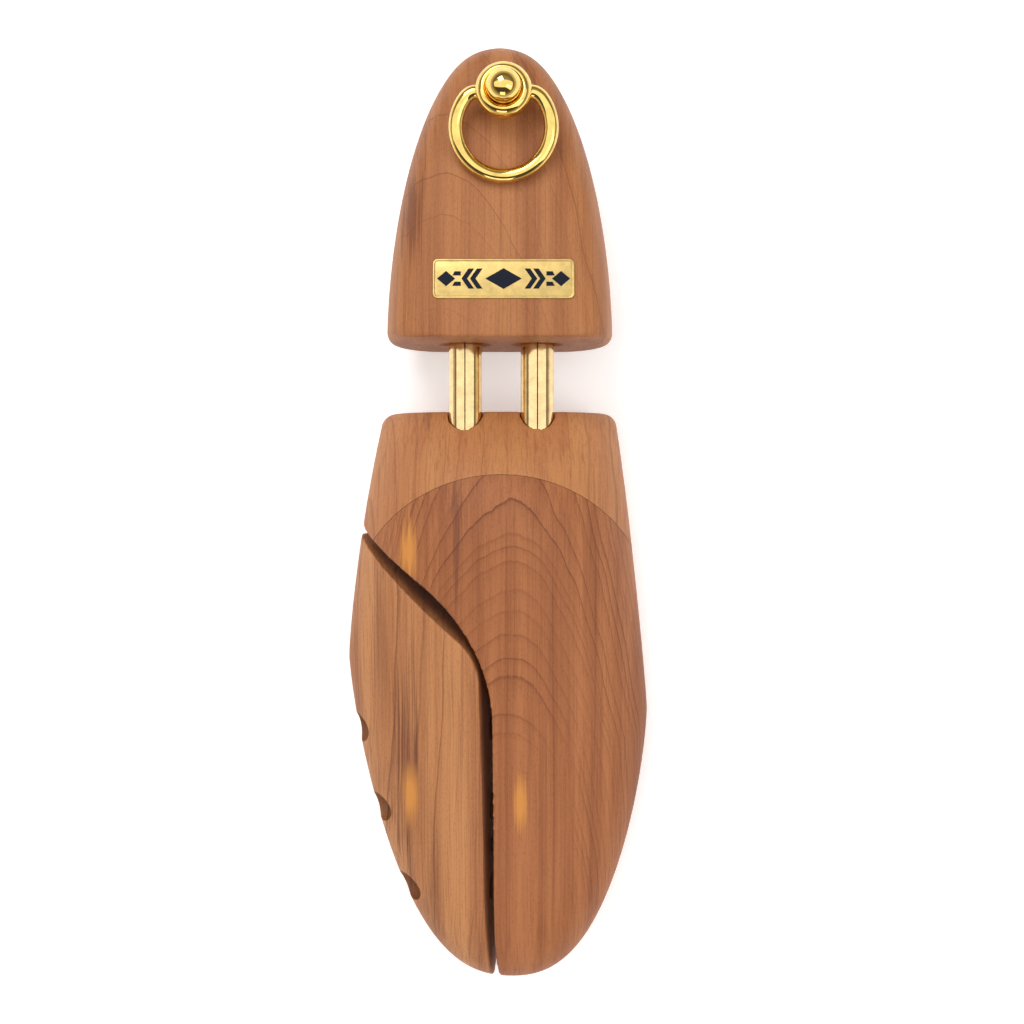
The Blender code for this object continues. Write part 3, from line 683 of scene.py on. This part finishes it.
def ring_path(steps=96):
    """The ring's centre line in its own plane, with its ends on the X axis."""
    depth = math.sqrt(RING_RADIUS**2 - RING_NECK**2)
    start = math.asin(RING_NECK / RING_RADIUS)
    sweep = 2 * math.pi - 2 * start
    turns = [start + sweep * i / steps for i in range(steps + 1)]
    arc = [Vector((RING_RADIUS * math.sin(a), RING_RADIUS * math.cos(a) - depth, 0.0)) for a in turns]
    corner, end = arc[0], Vector((RING_END, 0, 0))
    near = corner + (end - corner).normalized() * RING_BEND
    kept = [p for p in arc if (p - corner).length > RING_BEND and p.x > 0 and p.y > -depth]
    far = kept[0]
    bend = []
    for i in range(9):
        t = i / 8
        bend.append(near * (1 - t) ** 2 + corner * 2 * t * (1 - t) + far * t * t)
    middle = [p for p in arc if min((p - arc[0]).length, (p - arc[-1]).length) > RING_BEND]
    mirrored = [Vector((-p.x, p.y, 0)) for p in reversed(bend)]
    return [end, *bend, *middle[1:-1], *mirrored, Vector((-RING_END, 0, 0))]


def make_ring():
    """The open ring, tilted so that its far end lies on the wood."""
    depth = math.sqrt(RING_RADIUS**2 - RING_NECK**2)
    above = CROSS_BORE_HEIGHT - RING_WIRE - RING_REST_GAP - KNOB_SINK
    tilt = math.asin(above / (depth + RING_RADIUS))
    ring = wire("brass_pull_ring", ring_path(), RING_WIRE, 10)
    ring.matrix_world = (
        knob_frame() @ Matrix.Translation((0, 0, CROSS_BORE_HEIGHT)) @ Matrix.Rotation(tilt, 4, "X")
    )
    ring = baked(ring)
    bm = bmesh.new()
    bm.from_mesh(ring.data)
    bmesh.ops.remove_doubles(bm, verts=bm.verts, dist=0.000001)
    bm.to_mesh(ring.data)
    bm.free()
    shade(ring.data, 50)
    return ring


def polar(radius, turn):
    return (radius * math.cos(turn), radius * math.sin(turn))


def make_tube(side):
    """A tube rolled from sheet: its lips meet along a fine seam on top."""
    outer, inner = TUBE_RADIUS, TUBE_RADIUS - TUBE_WALL
    half = TUBE_SEAM / 2 / outer
    steps = 96
    turns = [math.pi / 2 + half + (2 * math.pi - 2 * half) * i / steps for i in range(steps + 1)]
    spread = TUBE_LIP / outer * LIP_SPREAD
    turns = [turns[0] + spread, *turns[1:-1], turns[-1] - spread]
    loop = [polar(outer - TUBE_LIP, turns[0] - LIP_LEAN)]
    loop += [polar(outer, turn) for turn in turns]
    loop += [polar(outer - TUBE_LIP, turns[-1] + LIP_LEAN)]
    loop += [polar(inner, turn) for turn in reversed(turns)]
    bm = bmesh.new()
    rows = []
    for y, shrink in (
        (TUBE_FRONT, TUBE_CHAMFER),
        (TUBE_FRONT + TUBE_CHAMFER, 0.0),
        (TUBE_REAR - TUBE_CHAMFER, 0.0),
        (TUBE_REAR, TUBE_CHAMFER),
    ):
        row = []
        for x, z in loop:
            size = math.hypot(x, z)
            share = (size - shrink) / size if size > (outer + inner) / 2 else 1.0
            row.append(bm.verts.new((TUBES[side].x + x * share, y, TUBE_Z + z * share)))
        rows.append(row)
    bridge(bm, rows)
    count = len(loop)
    for row in (rows[0], rows[-1]):
        for i in range(count // 2 - 1):
            bm.faces.new((row[i], row[i + 1], row[count - 2 - i], row[count - 1 - i]))
    tube = mesh_object(f"brass_tube_{side}", bm)
    brad = (low(f"stop_brad_{side}") + high(f"stop_brad_{side}")) / 2
    middle, bottom = Vector((brad.x, brad.y + HEEL_TRAVEL / 2)), TUBE_Z - TUBE_RADIUS
    size = (2 * BRAD_WAY, HEEL_TRAVEL + 2 * BRAD_WAY)
    # The slot's ends stay just short of half circles, so that no two of its points meet
    outline = [middle + Vector(point) for point in rounded_rectangle(*size, BRAD_WAY * 0.999)]
    slot = prism(f"slot_{side}", outline, bottom - SLOT_CUTTER, bottom + SLOT_CUTTER)
    tube = cut(tube, [slot])
    shade(tube.data, 35)
    return tube


def coil(name, start, way, radius, length, turns, per_turn=32):
    """A spring along X or Y with a closed turn at each end."""
    closed = SPRING_WIRE * CLOSED_TURN
    middle = (length - 2 * closed) / (turns - 2)
    points = []
    for i in range(turns * per_turn + 1):
        turn = i / per_turn
        reach = closed * min(turn, 1.0)
        reach += middle * max(0.0, min(turn, turns - 1.0) - 1.0)
        reach += closed * max(0.0, turn - turns + 1.0)
        angle = 2 * math.pi * turn
        points.append((radius * math.cos(angle), reach, radius * math.sin(angle)))
    spring = wire(name, points, SPRING_WIRE / 2, 3)
    turn = Vector(way).to_track_quat("Y", "Z").to_matrix().to_4x4()
    spring.matrix_world = Matrix.Translation(start) @ turn
    spring = baked(spring)
    shade(spring.data, 50)
    return spring


def rounded_rectangle(width, height, radius, arc=8):
    """The outline of a rectangle with round corners, about the origin."""
    points = []
    corners = ((1, 1, 0), (-1, 1, 1), (-1, -1, 2), (1, -1, 3))
    for sx, sy, quarter in corners:
        centre = (sx * (width / 2 - radius), sy * (height / 2 - radius))
        for i in range(arc + 1):
            angle = math.pi / 2 * (quarter + i / arc)
            points.append((centre[0] + radius * math.cos(angle), centre[1] + radius * math.sin(angle)))
    return points


def stacked(name, width, height, corner, levels):
    """A plate built up from rounded rectangles, each given as (inset, height)."""
    bm = bmesh.new()
    rows = []
    for inset, z in levels:
        radius = max(corner - inset, 0.0002)
        outline = rounded_rectangle(width - 2 * inset, height - 2 * inset, radius)
        rows.append([bm.verts.new((x, y, z)) for x, y in outline])
    bridge(bm, rows)
    bm.faces.new(rows[0])
    bm.faces.new(rows[-1])
    return mesh_object(name, bm)


def make_plate():
    """The brass plate: a bevelled border, a fine groove inside it and a flat field."""
    levels = (
        (0.0, -PLATE_SINK),
        (0.0, PLATE_PROUD - 0.00012),
        (0.00005, PLATE_PROUD - 0.00004),
        (0.00014, PLATE_PROUD),
        (0.00042, PLATE_PROUD),
        (0.00050, PLATE_PROUD - 0.00003),
        (0.00056, PLATE_PROUD - 0.00014),
        (0.00066, PLATE_PROUD - 0.00016),
        (0.00074, PLATE_PROUD - 0.00010),
        (0.00090, PLATE_PROUD - 0.00008),
    )
    plate = stacked("brass_name_plate", *PLATE_SIZE, PLATE_CORNER, levels)
    plate.matrix_world = heel_top_frame(FITTING_X, PLATE_Y)
    plate = baked(plate)
    shade(plate.data, 25)
    return plate


def lozenge(cx, half_length, half_height):
    return [(cx + half_length, 0), (cx, half_height), (cx - half_length, 0), (cx, -half_height)]


def chevron(cx, way, height, thick, reach):
    """A V on its side, with the middle of its arms' ends at cx, whose point looks along way."""
    left, right = cx - thick / 2, cx + thick / 2
    return [
        (left, height),
        (right, height),
        (right + way * reach, 0),
        (right, -height),
        (left, -height),
        (left + way * reach, 0),
    ]


def bar(way, offset):
    """A short bar whose outer end is cut at a slant."""
    inner, outer = (way * place for place in BAR_SPAN)
    return [
        (inner, offset - BAR_HALF),
        (outer, offset - BAR_HALF),
        (outer - way * BAR_HALF, offset + BAR_HALF),
        (inner, offset + BAR_HALF),
    ]


def make_enamel():
    """A plain ornament: lozenges, chevrons and bars in dark enamel."""
    base, top = PLATE_PROUD - ENAMEL_DEPTH, PLATE_PROUD + ENAMEL_PROUD
    shapes = [lozenge(0.0, *BIG_LOZENGE)]
    for way in (-1, 1):
        shapes.append(lozenge(way * END_LOZENGE_PLACE, *END_LOZENGE))
        for place in CHEVRON_PLACES:
            shapes.append(chevron(way * place, way, *CHEVRON_SIZE))
        for offset in (-BAR_OFFSET, BAR_OFFSET):
            shapes.append(bar(way, offset))
    made = []
    for i, outline in enumerate(shapes):
        piece = prism(f"enamel_mark_{i:02d}", outline, base, top)
        piece.matrix_world = heel_top_frame(FITTING_X, PLATE_Y)
        made.append(baked(piece))
    return made


# Materials


def add(tree, kind, inputs=(), **settings):
    """A new node. Its inputs are sockets to link or values to set."""
    made = tree.nodes.new(kind)
    for key, value in settings.items():
        setattr(made, key, value)
    for key, value in dict(inputs).items():
        if isinstance(value, bpy.types.NodeSocket):
            tree.links.new(value, made.inputs[key])
        else:
            made.inputs[key].default_value = value
    return made


def calc(tree, operation, *values):
    return add(tree, "ShaderNodeMath", enumerate(values), operation=operation).outputs[0]


def vector_calc(tree, operation, *values):
    node = add(tree, "ShaderNodeVectorMath", enumerate(values), operation=operation)
    return node.outputs["Value" if operation == "LENGTH" else "Vector"]


def stretched(tree, vector, shares):
    return vector_calc(tree, "MULTIPLY", vector, shares)


def noise(tree, vector, scale, detail=3.0, rough=0.5, output="Fac"):
    inputs = {"Vector": vector, "Scale": scale, "Detail": detail, "Roughness": rough}
    return add(tree, "ShaderNodeTexNoise", inputs).outputs[output]


def object_place(tree):
    """The place on the object in mm."""
    return stretched(tree, add(tree, "ShaderNodeTexCoord").outputs["Object"], (1000, 1000, 1000))


def ramp(tree, value, stops):
    """A colour ramp through (place, colour) stops. A single number stands for a grey."""
    node = add(tree, "ShaderNodeValToRGB", {"Fac": value})
    elements = node.color_ramp.elements
    while len(elements) > 1:
        elements.remove(elements[-1])
    for i, (place, tone) in enumerate(stops):
        element = elements.new(place) if i else elements[0]
        element.position = place
        element.color = tone if isinstance(tone, tuple) else (tone, tone, tone, 1.0)
    return node.outputs["Color"]


def mix(tree, share, first, second):
    """A colour between two: sockets 0, 6 and 7 are the mix node's share and colours."""
    return add(tree, "ShaderNodeMix", {0: share, 6: first, 7: second}, data_type="RGBA").outputs[2]


def colour(red, green, blue):
    """A linear colour from an 8-bit display colour."""
    made = []
    for value in (red, green, blue):
        share = value / 255
        made.append(share / 12.92 if share <= 0.04045 else ((share + 0.055) / 1.055) ** 2.4)
    return (*made, 1.0)


def new_material(name):
    made = bpy.data.materials.new(name)
    made.use_nodes = True
    tree = made.node_tree
    return made, tree, tree.nodes["Principled BSDF"]


# Growth rings show where a value passes whole multiples of the gap between rings. The value is a
# share of the way along the grain plus a share of the distance from the pith line to a power, so
# its lines are nested arches, or straight where the first share is small. Lengths are in mm
# - line is how dark the late wood gets, and edge is where in each ring it starts to darken
# - fade is the stretch along Y over which the rings appear near the pith
# - lean is how much the fibres climb along Y, so that they follow the crown
# - fibres is how strongly the threads show
Wood = namedtuple("Wood", "pith along bulge power gap line edge fade lean fibres light mid dark seed")
ALL_OVER = (-300, -290)
WOODS = {
    "toe": Wood(
        (2, 0, 33), 1.0, 0.066, 2.0, 7.5, 1.0, 0.80, (-74, -50), 0.155, 0.85,
        (177, 112, 68), (155, 93, 55), (111, 58, 33), 1.0
    ),
    "instep": Wood(
        (-75, 0, 30), 0.03, 1.0, 1.0, 7.5, 0.60, 0.90, ALL_OVER, 0.0, 0.85,
        (192, 132, 81), (181, 118, 74), (130, 76, 45), 5.0
    ),
    "side": Wood(
        (60, 0, 24), 0.04, 1.0, 1.0, 6.0, 0.80, 0.91, ALL_OVER, 0.155, 1.0,
        (194, 134, 85), (169, 109, 68), (122, 70, 46), 9.0
    ),
    "heel": Wood(
        (-16, -6, 45), 1.0, 0.050, 2.0, 19.0, 0.75, 0.93, ALL_OVER, -0.079, 0.70,
        (179, 118, 71), (160, 99, 57), (111, 61, 37), 14.0
    ),
}

# Pale flecks of sapwood and dusky streaks of heartwood: place, half size in mm and amount
Patch = namedtuple("Patch", "middle half amount")
FLECKS = {
    "toe": [Patch((6.5, -84, 30), (2.4, 10, 12), 0.95), Patch((-26.5, -9, 38), (3.0, 11, 12), 0.95)],
    "side": [Patch((-26.5, -82, 24), (3.0, 12, 16), 0.95)],
    "instep": [],
    "heel": [],
}
STREAKS = {
    "toe": [Patch((-12, -2, 40), (2.0, 22, 20), 0.55)],
    "side": [
        Patch((-27, -68, 20), (4.6, 36, 24), 0.75),
        Patch((-35, -36, 20), (2.2, 30, 24), 0.50),
        Patch((-20, -110, 20), (3.0, 24, 24), 0.40),
    ],
    "instep": [Patch((-21, 30, 34), (1.5, 7, 20), 0.50)],
    "heel": [Patch((-25, 88, 50), (3.4, 15, 24), 0.60)],
}
FLECK_TONE, FLECK_FRAY = (208, 138, 66), 1.7
STREAK_TONE, STREAK_FRAY = (92, 46, 36), 4.4
# Painted shade on the walls of the vent holes: its tone and how much of it shows
VENT_SHADE_TONE, VENT_SHADE_AMOUNT = (96, 50, 26), 0.45


def wander(tree, vector, stretch, scale, detail, rough, reach):
    """A slow random shift of a place, to either side by half the reach."""
    shift = noise(tree, stretched(tree, vector, stretch), scale, detail, rough, "Color")
    return stretched(tree, vector_calc(tree, "SUBTRACT", shift, (0.5, 0.5, 0.5)), reach)


def late_wood(tree, wood, warped):
    """How dark the growth rings are at a place: each darkens slowly and ends in a sharp line."""
    centred = vector_calc(tree, "SUBTRACT", warped, wood.pith)
    across = vector_calc(tree, "LENGTH", stretched(tree, centred, (1, 0, 0.8)))
    way = add(tree, "ShaderNodeSeparateXYZ", {0: centred}).outputs["Y"]
    value = calc(tree, "MULTIPLY", calc(tree, "POWER", across, wood.power), wood.bulge)
    value = calc(tree, "MULTIPLY_ADD", way, wood.along, value)
    pace_inputs = {"W": calc(tree, "MULTIPLY", value, 0.06), "Scale": 1.0}
    pace = add(tree, "ShaderNodeTexNoise", pace_inputs, noise_dimensions="1D").outputs["Fac"]
    rings = calc(tree, "MULTIPLY_ADD", pace, 2.4, calc(tree, "DIVIDE", value, wood.gap))
    last = 1.0 - wood.edge
    stops = [(0.0, 0.0), (0.40, 0.06), (wood.edge, 1.55 * last), (1.0 - 0.36 * last, 1.0)]
    late = ramp(tree, calc(tree, "FRACT", rings), [*stops, (1.0 - 0.14 * last, 0.85), (1.0, 0.0)])
    ring_seed = {"W": calc(tree, "FLOOR", rings)}
    strength = add(tree, "ShaderNodeTexWhiteNoise", ring_seed, noise_dimensions="1D").outputs["Value"]
    strength = calc(tree, "MULTIPLY_ADD", strength, 0.75, 0.25)
    shown = ramp_between(tree, way, *wood.fade)
    shown = calc(tree, "MAXIMUM", shown, ramp_between(tree, across, 16.0, 26.0))
    late = calc(tree, "MULTIPLY", late, shown)
    return calc(tree, "MULTIPLY", late, calc(tree, "MULTIPLY", strength, wood.line))


def vent_shade_share(tree, place, y, z):
    """Painted shade on a vent hole's wall: one on the wall, and zero on the wood around its mouth."""
    beside = vector_calc(tree, "SUBTRACT", place, (0, y / MM, z / MM))
    reach = vector_calc(tree, "LENGTH", stretched(tree, beside, (0, 1, 1)))
    return ramp_between(tree, reach, VENT_RADIUS / MM + 0.15, VENT_RADIUS / MM + 0.05)


def wood_material(kind):
    """Cedar: growth rings, fibres along Y, fine pores, broad bands, pale flecks and dusky streaks, with
    painted shade on the walls of the vent holes.
    """
    wood = WOODS[kind]
    made, tree, shader = new_material(f"cedar_{kind}")
    place = object_place(tree)
    lengthways = add(tree, "ShaderNodeSeparateXYZ", {0: place}).outputs["Y"]
    climb = calc(tree, "MULTIPLY", lengthways, -wood.lean)
    level = vector_calc(tree, "ADD", place, add(tree, "ShaderNodeCombineXYZ", {"Z": climb}).outputs[0])
    shifted = vector_calc(tree, "ADD", level, (wood.seed * 37, wood.seed * 91, wood.seed * 53))
    drift = wander(tree, shifted, (1, 0.40, 1), 0.035, 2.0, 0.5, (8, 12, 8))
    ripple = wander(tree, shifted, (1, 0.25, 1), 0.20, 3.0, 0.55, (1, 2.5, 1))
    warped = vector_calc(tree, "ADD", vector_calc(tree, "ADD", place, drift), ripple)
    late = late_wood(tree, wood, warped)
    drifted = vector_calc(tree, "ADD", level, stretched(tree, drift, (0.30, 0.5, 0.30)))
    offset = vector_calc(tree, "ADD", drifted, (wood.seed * 11, 0, wood.seed * 7))
    threads = noise(tree, stretched(tree, offset, (1.10, 0.005, 0.16)), 1.0, 4.0, 0.65)
    fibre = noise(tree, stretched(tree, offset, (2.4, 0.03, 0.5)), 1.0, 3.0, 0.6)
    pores = noise(tree, stretched(tree, shifted, (2.2, 1.0, 2.2)), 1.0, 3.0, 0.7)
    bands = noise(tree, stretched(tree, offset, (0.15, 0.005, 0.04)), 1.0, 3.0, 0.55)
    light, mid, dark = colour(*wood.light), colour(*wood.mid), colour(*wood.dark)
    base = mix(tree, ramp(tree, bands, [(0.36, 0.0), (0.60, 1.0)]), light, mid)
    base = mix(tree, late, base, dark)
    for pattern, stops, amount, tone in (
        (threads, [(0.54, 0.0), (0.67, 1.0)], 0.50 * wood.fibres, dark),
        (threads, [(0.33, 1.0), (0.46, 0.0)], 0.40 * wood.fibres, light),
        (fibre, [(0.50, 0.0), (0.66, 1.0)], 0.34 * wood.fibres, dark),
        (pores, [(0.52, 0.0), (0.70, 1.0)], 0.30, dark),
        (pores, [(0.28, 1.0), (0.48, 0.0)], 0.22, light),
    ):
        base = mix(tree, calc(tree, "MULTIPLY", ramp(tree, pattern, stops), amount), base, tone)
    for patches, tone, fray in ((STREAKS, STREAK_TONE, STREAK_FRAY), (FLECKS, FLECK_TONE, FLECK_FRAY)):
        for patch in patches[kind]:
            base = mix(tree, patch_share(tree, place, patch, threads, fray), base, colour(*tone))
    # Painted shade darkens the walls of the vent holes
    for y, z in VENTS if kind == "side" else ():
        vent_shade = calc(tree, "MULTIPLY", vent_shade_share(tree, place, y, z), VENT_SHADE_AMOUNT)
        base = mix(tree, vent_shade, base, colour(*VENT_SHADE_TONE))
    tree.links.new(base, shader.inputs["Base Color"])
    tree.links.new(calc(tree, "MULTIPLY_ADD", fibre, 0.16, 0.50), shader.inputs["Roughness"])
    shader.inputs["Specular IOR Level"].default_value = 0.30
    height = calc(tree, "ADD", calc(tree, "MULTIPLY", pores, 0.6), calc(tree, "MULTIPLY", fibre, 0.8))
    height = calc(tree, "SUBTRACT", height, calc(tree, "MULTIPLY", late, 0.5))
    bump = add(tree, "ShaderNodeBump", {"Strength": 0.30, "Distance": 0.00008, "Height": height})
    tree.links.new(bump.outputs[0], shader.inputs["Normal"])
    return made


def patch_share(tree, place, patch, threads, fray):
    """How much of a long patch shows: its ends and sides fray into threads."""
    away = vector_calc(tree, "SUBTRACT", place, patch.middle)
    reach = vector_calc(tree, "LENGTH", vector_calc(tree, "DIVIDE", away, patch.half))
    frayed = calc(tree, "ADD", reach, calc(tree, "MULTIPLY_ADD", threads, fray, -fray / 2))
    return calc(tree, "MULTIPLY", ramp(tree, frayed, [(0.35, 1.0), (1.0, 0.0)]), patch.amount)


def ramp_between(tree, value, start, end):
    """Zero up to the start, one from the end, and smooth between them."""
    inputs = {"Value": value, "From Min": start, "From Max": end}
    return add(tree, "ShaderNodeMapRange", inputs, interpolation_type="SMOOTHSTEP").outputs[0]


def brass_material(name, tone, rough, brushed=(4.0, 4.0, 4.0)):
    """Polished brass with fine wear. A stretched pattern gives brushing."""
    made, tree, shader = new_material(name)
    place = object_place(tree)
    cloud = noise(tree, place, 0.35, 3.0, 0.6)
    scratch = noise(tree, stretched(tree, place, brushed), 1.0, 4.0, 0.7)
    tone_dark = tuple(c * 0.86 for c in tone)
    clouded = ramp(tree, cloud, [(0.35, 0.0), (0.75, 1.0)])
    tree.links.new(mix(tree, clouded, colour(*tone), colour(*tone_dark)), shader.inputs["Base Color"])
    shader.inputs["Metallic"].default_value = 1.0
    spread = calc(tree, "MULTIPLY_ADD", scratch, 0.05, rough - 0.025)
    spread = calc(tree, "ADD", spread, calc(tree, "MULTIPLY_ADD", cloud, 0.04, -0.02))
    tree.links.new(spread, shader.inputs["Roughness"])
    bump = add(tree, "ShaderNodeBump", {"Strength": 0.12, "Distance": 0.00002, "Height": scratch})
    tree.links.new(bump.outputs[0], shader.inputs["Normal"])
    return made


def steel_material(name, tone, rough):
    made, tree, shader = new_material(name)
    cloud = noise(tree, object_place(tree), 1.4, 4.0, 0.6)
    base = mix(tree, cloud, colour(*tone), colour(*(c * 0.75 for c in tone)))
    tree.links.new(base, shader.inputs["Base Color"])
    shader.inputs["Metallic"].default_value = 1.0
    tree.links.new(calc(tree, "MULTIPLY_ADD", cloud, 0.2, rough - 0.1), shader.inputs["Roughness"])
    return made


def enamel_material():
    made, tree, shader = new_material("navy_enamel")
    cloud = noise(tree, object_place(tree), 0.9, 3.0, 0.6)
    base = mix(tree, cloud, colour(12, 18, 32), colour(20, 27, 43))
    tree.links.new(base, shader.inputs["Base Color"])
    shader.inputs["Roughness"].default_value = 0.45
    shader.inputs["Specular IOR Level"].default_value = 0.12
    return made


def dress(obj, material):
    obj.data.materials.clear()
    obj.data.materials.append(material)
    return obj


def place_piece(obj, material, body, slot, *nodes):
    """Gives a piece its material and body, and hides the frame nodes that it replaces. The slot is not
    used.
    """
    dress(obj, material)
    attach(obj, body)
    if nodes:
        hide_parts(*nodes)
    return obj


# Stage, light and camera

WHITE = (1.0, 1.0, 1.0, 1.0)
FLOOR_HALF = 3.0
FLOOR_DROP = 0.0002
FLOOR_GLOW = 0.30


def make_floor():
    bm = bmesh.new()
    bmesh.ops.create_grid(bm, x_segments=1, y_segments=1, size=FLOOR_HALF)
    floor = mesh_object("floor", bm)
    floor.location.z = -FLOOR_DROP
    made, tree, shader = new_material("pale_floor")
    place = add(tree, "ShaderNodeTexCoord").outputs["Object"]
    base = mix(tree, noise(tree, place, 3.0), colour(254, 254, 254), colour(252, 252, 252))
    tree.links.new(base, shader.inputs["Base Color"])
    shader.inputs["Roughness"].default_value = 0.9
    shader.inputs["Specular IOR Level"].default_value = 0.1
    shader.inputs["Emission Color"].default_value = WHITE
    shader.inputs["Emission Strength"].default_value = FLOOR_GLOW
    dress(floor, made)


# The studio round the tree, as the brass reflects it. SKY gives its tones from the horizon, at 0, to
# overhead, at 1. A soft box hangs overhead, long in X: it ends where |x| / z and |y| / z pass its edges
DUSK = (0.15, 0.11, 0.07, 1.0)
SKY = [(0.0, 0.46), (0.16, 0.42), (0.34, DUSK), (0.46, DUSK), (0.70, 0.27), (1.0, 0.27)]
SKY_STRENGTH = 1.45
PANEL = (0.04, 0.035, 0.03, 1.0)
PANEL_AMOUNT = 0.90
BOX_EDGE_X = (2.05, 1.85)
BOX_EDGE_Y = (0.50, 0.42)

# Lamps that face the origin: place, size and power
LAMPS = {
    "key": ((-0.35, 0.75, 1.05), (0.6, 0.6), 6.4),
    "fill": ((0.75, -0.30, 0.95), (0.5, 0.9), 2.2),
    "front": ((-0.10, -0.95, 0.55), (0.6, 0.4), 1.5),
}


def area_light(name, place, size, power):
    data = bpy.data.lights.new(name, "AREA")
    data.shape = "RECTANGLE"
    data.size, data.size_y = size
    data.energy = power
    light = link(bpy.data.objects.new(name, data))
    light.location = place
    light.rotation_mode = "QUATERNION"
    light.rotation_quaternion = (-Vector(place)).to_track_quat("-Z", "Y")


def make_sky():
    """A grey room with a dusky belt, a dark panel on the toe's side and a soft box overhead."""
    world = bpy.data.worlds.new("studio")
    bpy.context.scene.world = world
    world.use_nodes = True
    tree = world.node_tree
    background = tree.nodes["Background"]
    ways = add(tree, "ShaderNodeTexCoord").outputs["Generated"]
    parts = add(tree, "ShaderNodeSeparateXYZ", {0: ways}).outputs
    sky = ramp(tree, parts["Z"], SKY)
    toeward = ramp_between(tree, parts["Y"], 0.0, -0.20)
    below_top = ramp_between(tree, parts["Z"], 0.975, 0.955)
    steep = calc(tree, "MULTIPLY", below_top, ramp_between(tree, parts["Z"], 0.40, 0.55))
    panel = calc(tree, "MULTIPLY", calc(tree, "MULTIPLY", toeward, steep), PANEL_AMOUNT)
    sky = mix(tree, panel, sky, PANEL)
    upward = calc(tree, "MAXIMUM", parts["Z"], 0.05)
    beside_x = calc(tree, "DIVIDE", calc(tree, "ABSOLUTE", parts["X"]), upward)
    beside_y = calc(tree, "DIVIDE", calc(tree, "ABSOLUTE", parts["Y"]), upward)
    wide, deep = ramp_between(tree, beside_x, *BOX_EDGE_X), ramp_between(tree, beside_y, *BOX_EDGE_Y)
    sky = mix(tree, calc(tree, "MULTIPLY", wide, deep), sky, WHITE)
    tree.links.new(sky, background.inputs["Color"])
    background.inputs["Strength"].default_value = SKY_STRENGTH


def make_light():
    make_sky()
    for name, lamp in LAMPS.items():
        area_light(name, *lamp)


# The camera looks straight down. It sees a square of side FIELD at the height CAMERA_PLANE
CAMERA_PLANE = 0.025
FIELD = 0.3072
CAMERA_REACH = 0.56
CAMERA_X, CAMERA_Y = 0.004, 0.0027


def make_camera():
    data = bpy.data.cameras.new("camera")
    data.sensor_width = 36.0
    data.lens = data.sensor_width * CAMERA_REACH / FIELD
    data.clip_start = 0.01
    data.clip_end = 20.0
    camera = link(bpy.data.objects.new("camera", data))
    camera.location = (CAMERA_X, CAMERA_Y, CAMERA_PLANE + CAMERA_REACH)
    bpy.context.scene.camera = camera
    bpy.context.scene.view_settings.view_transform = "Standard"


# The whole tree


def make_wood():
    for name, maker, kind, body in (
        ("instep_block", make_instep, "instep", "forefoot"),
        ("toe_block", make_toe, "toe", "forefoot"),
        ("side_piece", make_side, "side", "side"),
        ("heel_block", make_heel, "heel", "heel"),
    ):
        place_piece(maker(), wood_material(kind), body, f"cedar_{kind}", name)


def make_fittings():
    polished = brass_material("polished_brass", (240, 204, 116), 0.065)
    tube_brass = brass_material("tube_brass", (238, 207, 150), 0.09, (6.0, 0.15, 6.0))
    plate_brass = brass_material("plate_brass", (198, 170, 107), 0.34, (0.4, 6.0, 6.0))
    place_piece(make_knob(), polished, "heel", "brass_knob", "ring_knob")
    place_piece(make_ring(), polished, "ring", "brass_ring", "pull_ring")
    place_piece(make_plate(), plate_brass, "heel", "brass_plate", "name_plate")
    enamel = enamel_material()
    for mark in make_enamel():
        place_piece(mark, enamel, "heel", "enamel", "plate_enamel")
    for side in TUBES:
        place_piece(make_tube(side), tube_brass, "heel", "brass_tube", f"tube_{side}")


def make_springs():
    spring_steel = steel_material("spring_steel", (150, 150, 156), 0.32)
    for side, middle in TUBES.items():
        node = f"main_spring_{side}"
        start = (middle.x, low(node).y + SPRING_WIRE / 2, TUBE_Z)
        length = high(node).y - low(node).y - SPRING_WIRE
        coil_name = f"steel_main_spring_{side}"
        spring = coil(coil_name, start, (0, 1, 0), SPRING_RADIUS, length, SPRING_TURNS)
        place_piece(spring, spring_steel, "forefoot", "spring_steel", node)
        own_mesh(spring)
    for end, pin in PINS.items():
        node = f"side_spring_{end}"
        start = (high(node).x - SPRING_WIRE / 2, pin.y, pin.z)
        length = high(node).x - low(node).x - SPRING_WIRE
        coil_name = f"steel_side_spring_{end}"
        spring = coil(coil_name, start, (-1, 0, 0), SIDE_SPRING_RADIUS, length, SIDE_SPRING_TURNS)
        place_piece(spring, spring_steel, "forefoot", "spring_steel", node)
        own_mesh(spring)


def dress_frame_nodes():
    bare_steel = steel_material("bare_steel", (78, 70, 64), 0.60)
    brad_brass = brass_material("brad_brass", (226, 186, 100), 0.30)
    for name in frame["nodes"]:
        obj = frame["nodes"][name]
        if name.startswith(("guide_pin", "spring_seat", "knob_hanger")):
            dress(obj, bare_steel)
        elif "brad" in name:
            dress(obj, brad_brass)


make_camera()
make_floor()
make_light()
make_wood()
make_fittings()
make_springs()
dress_frame_nodes()
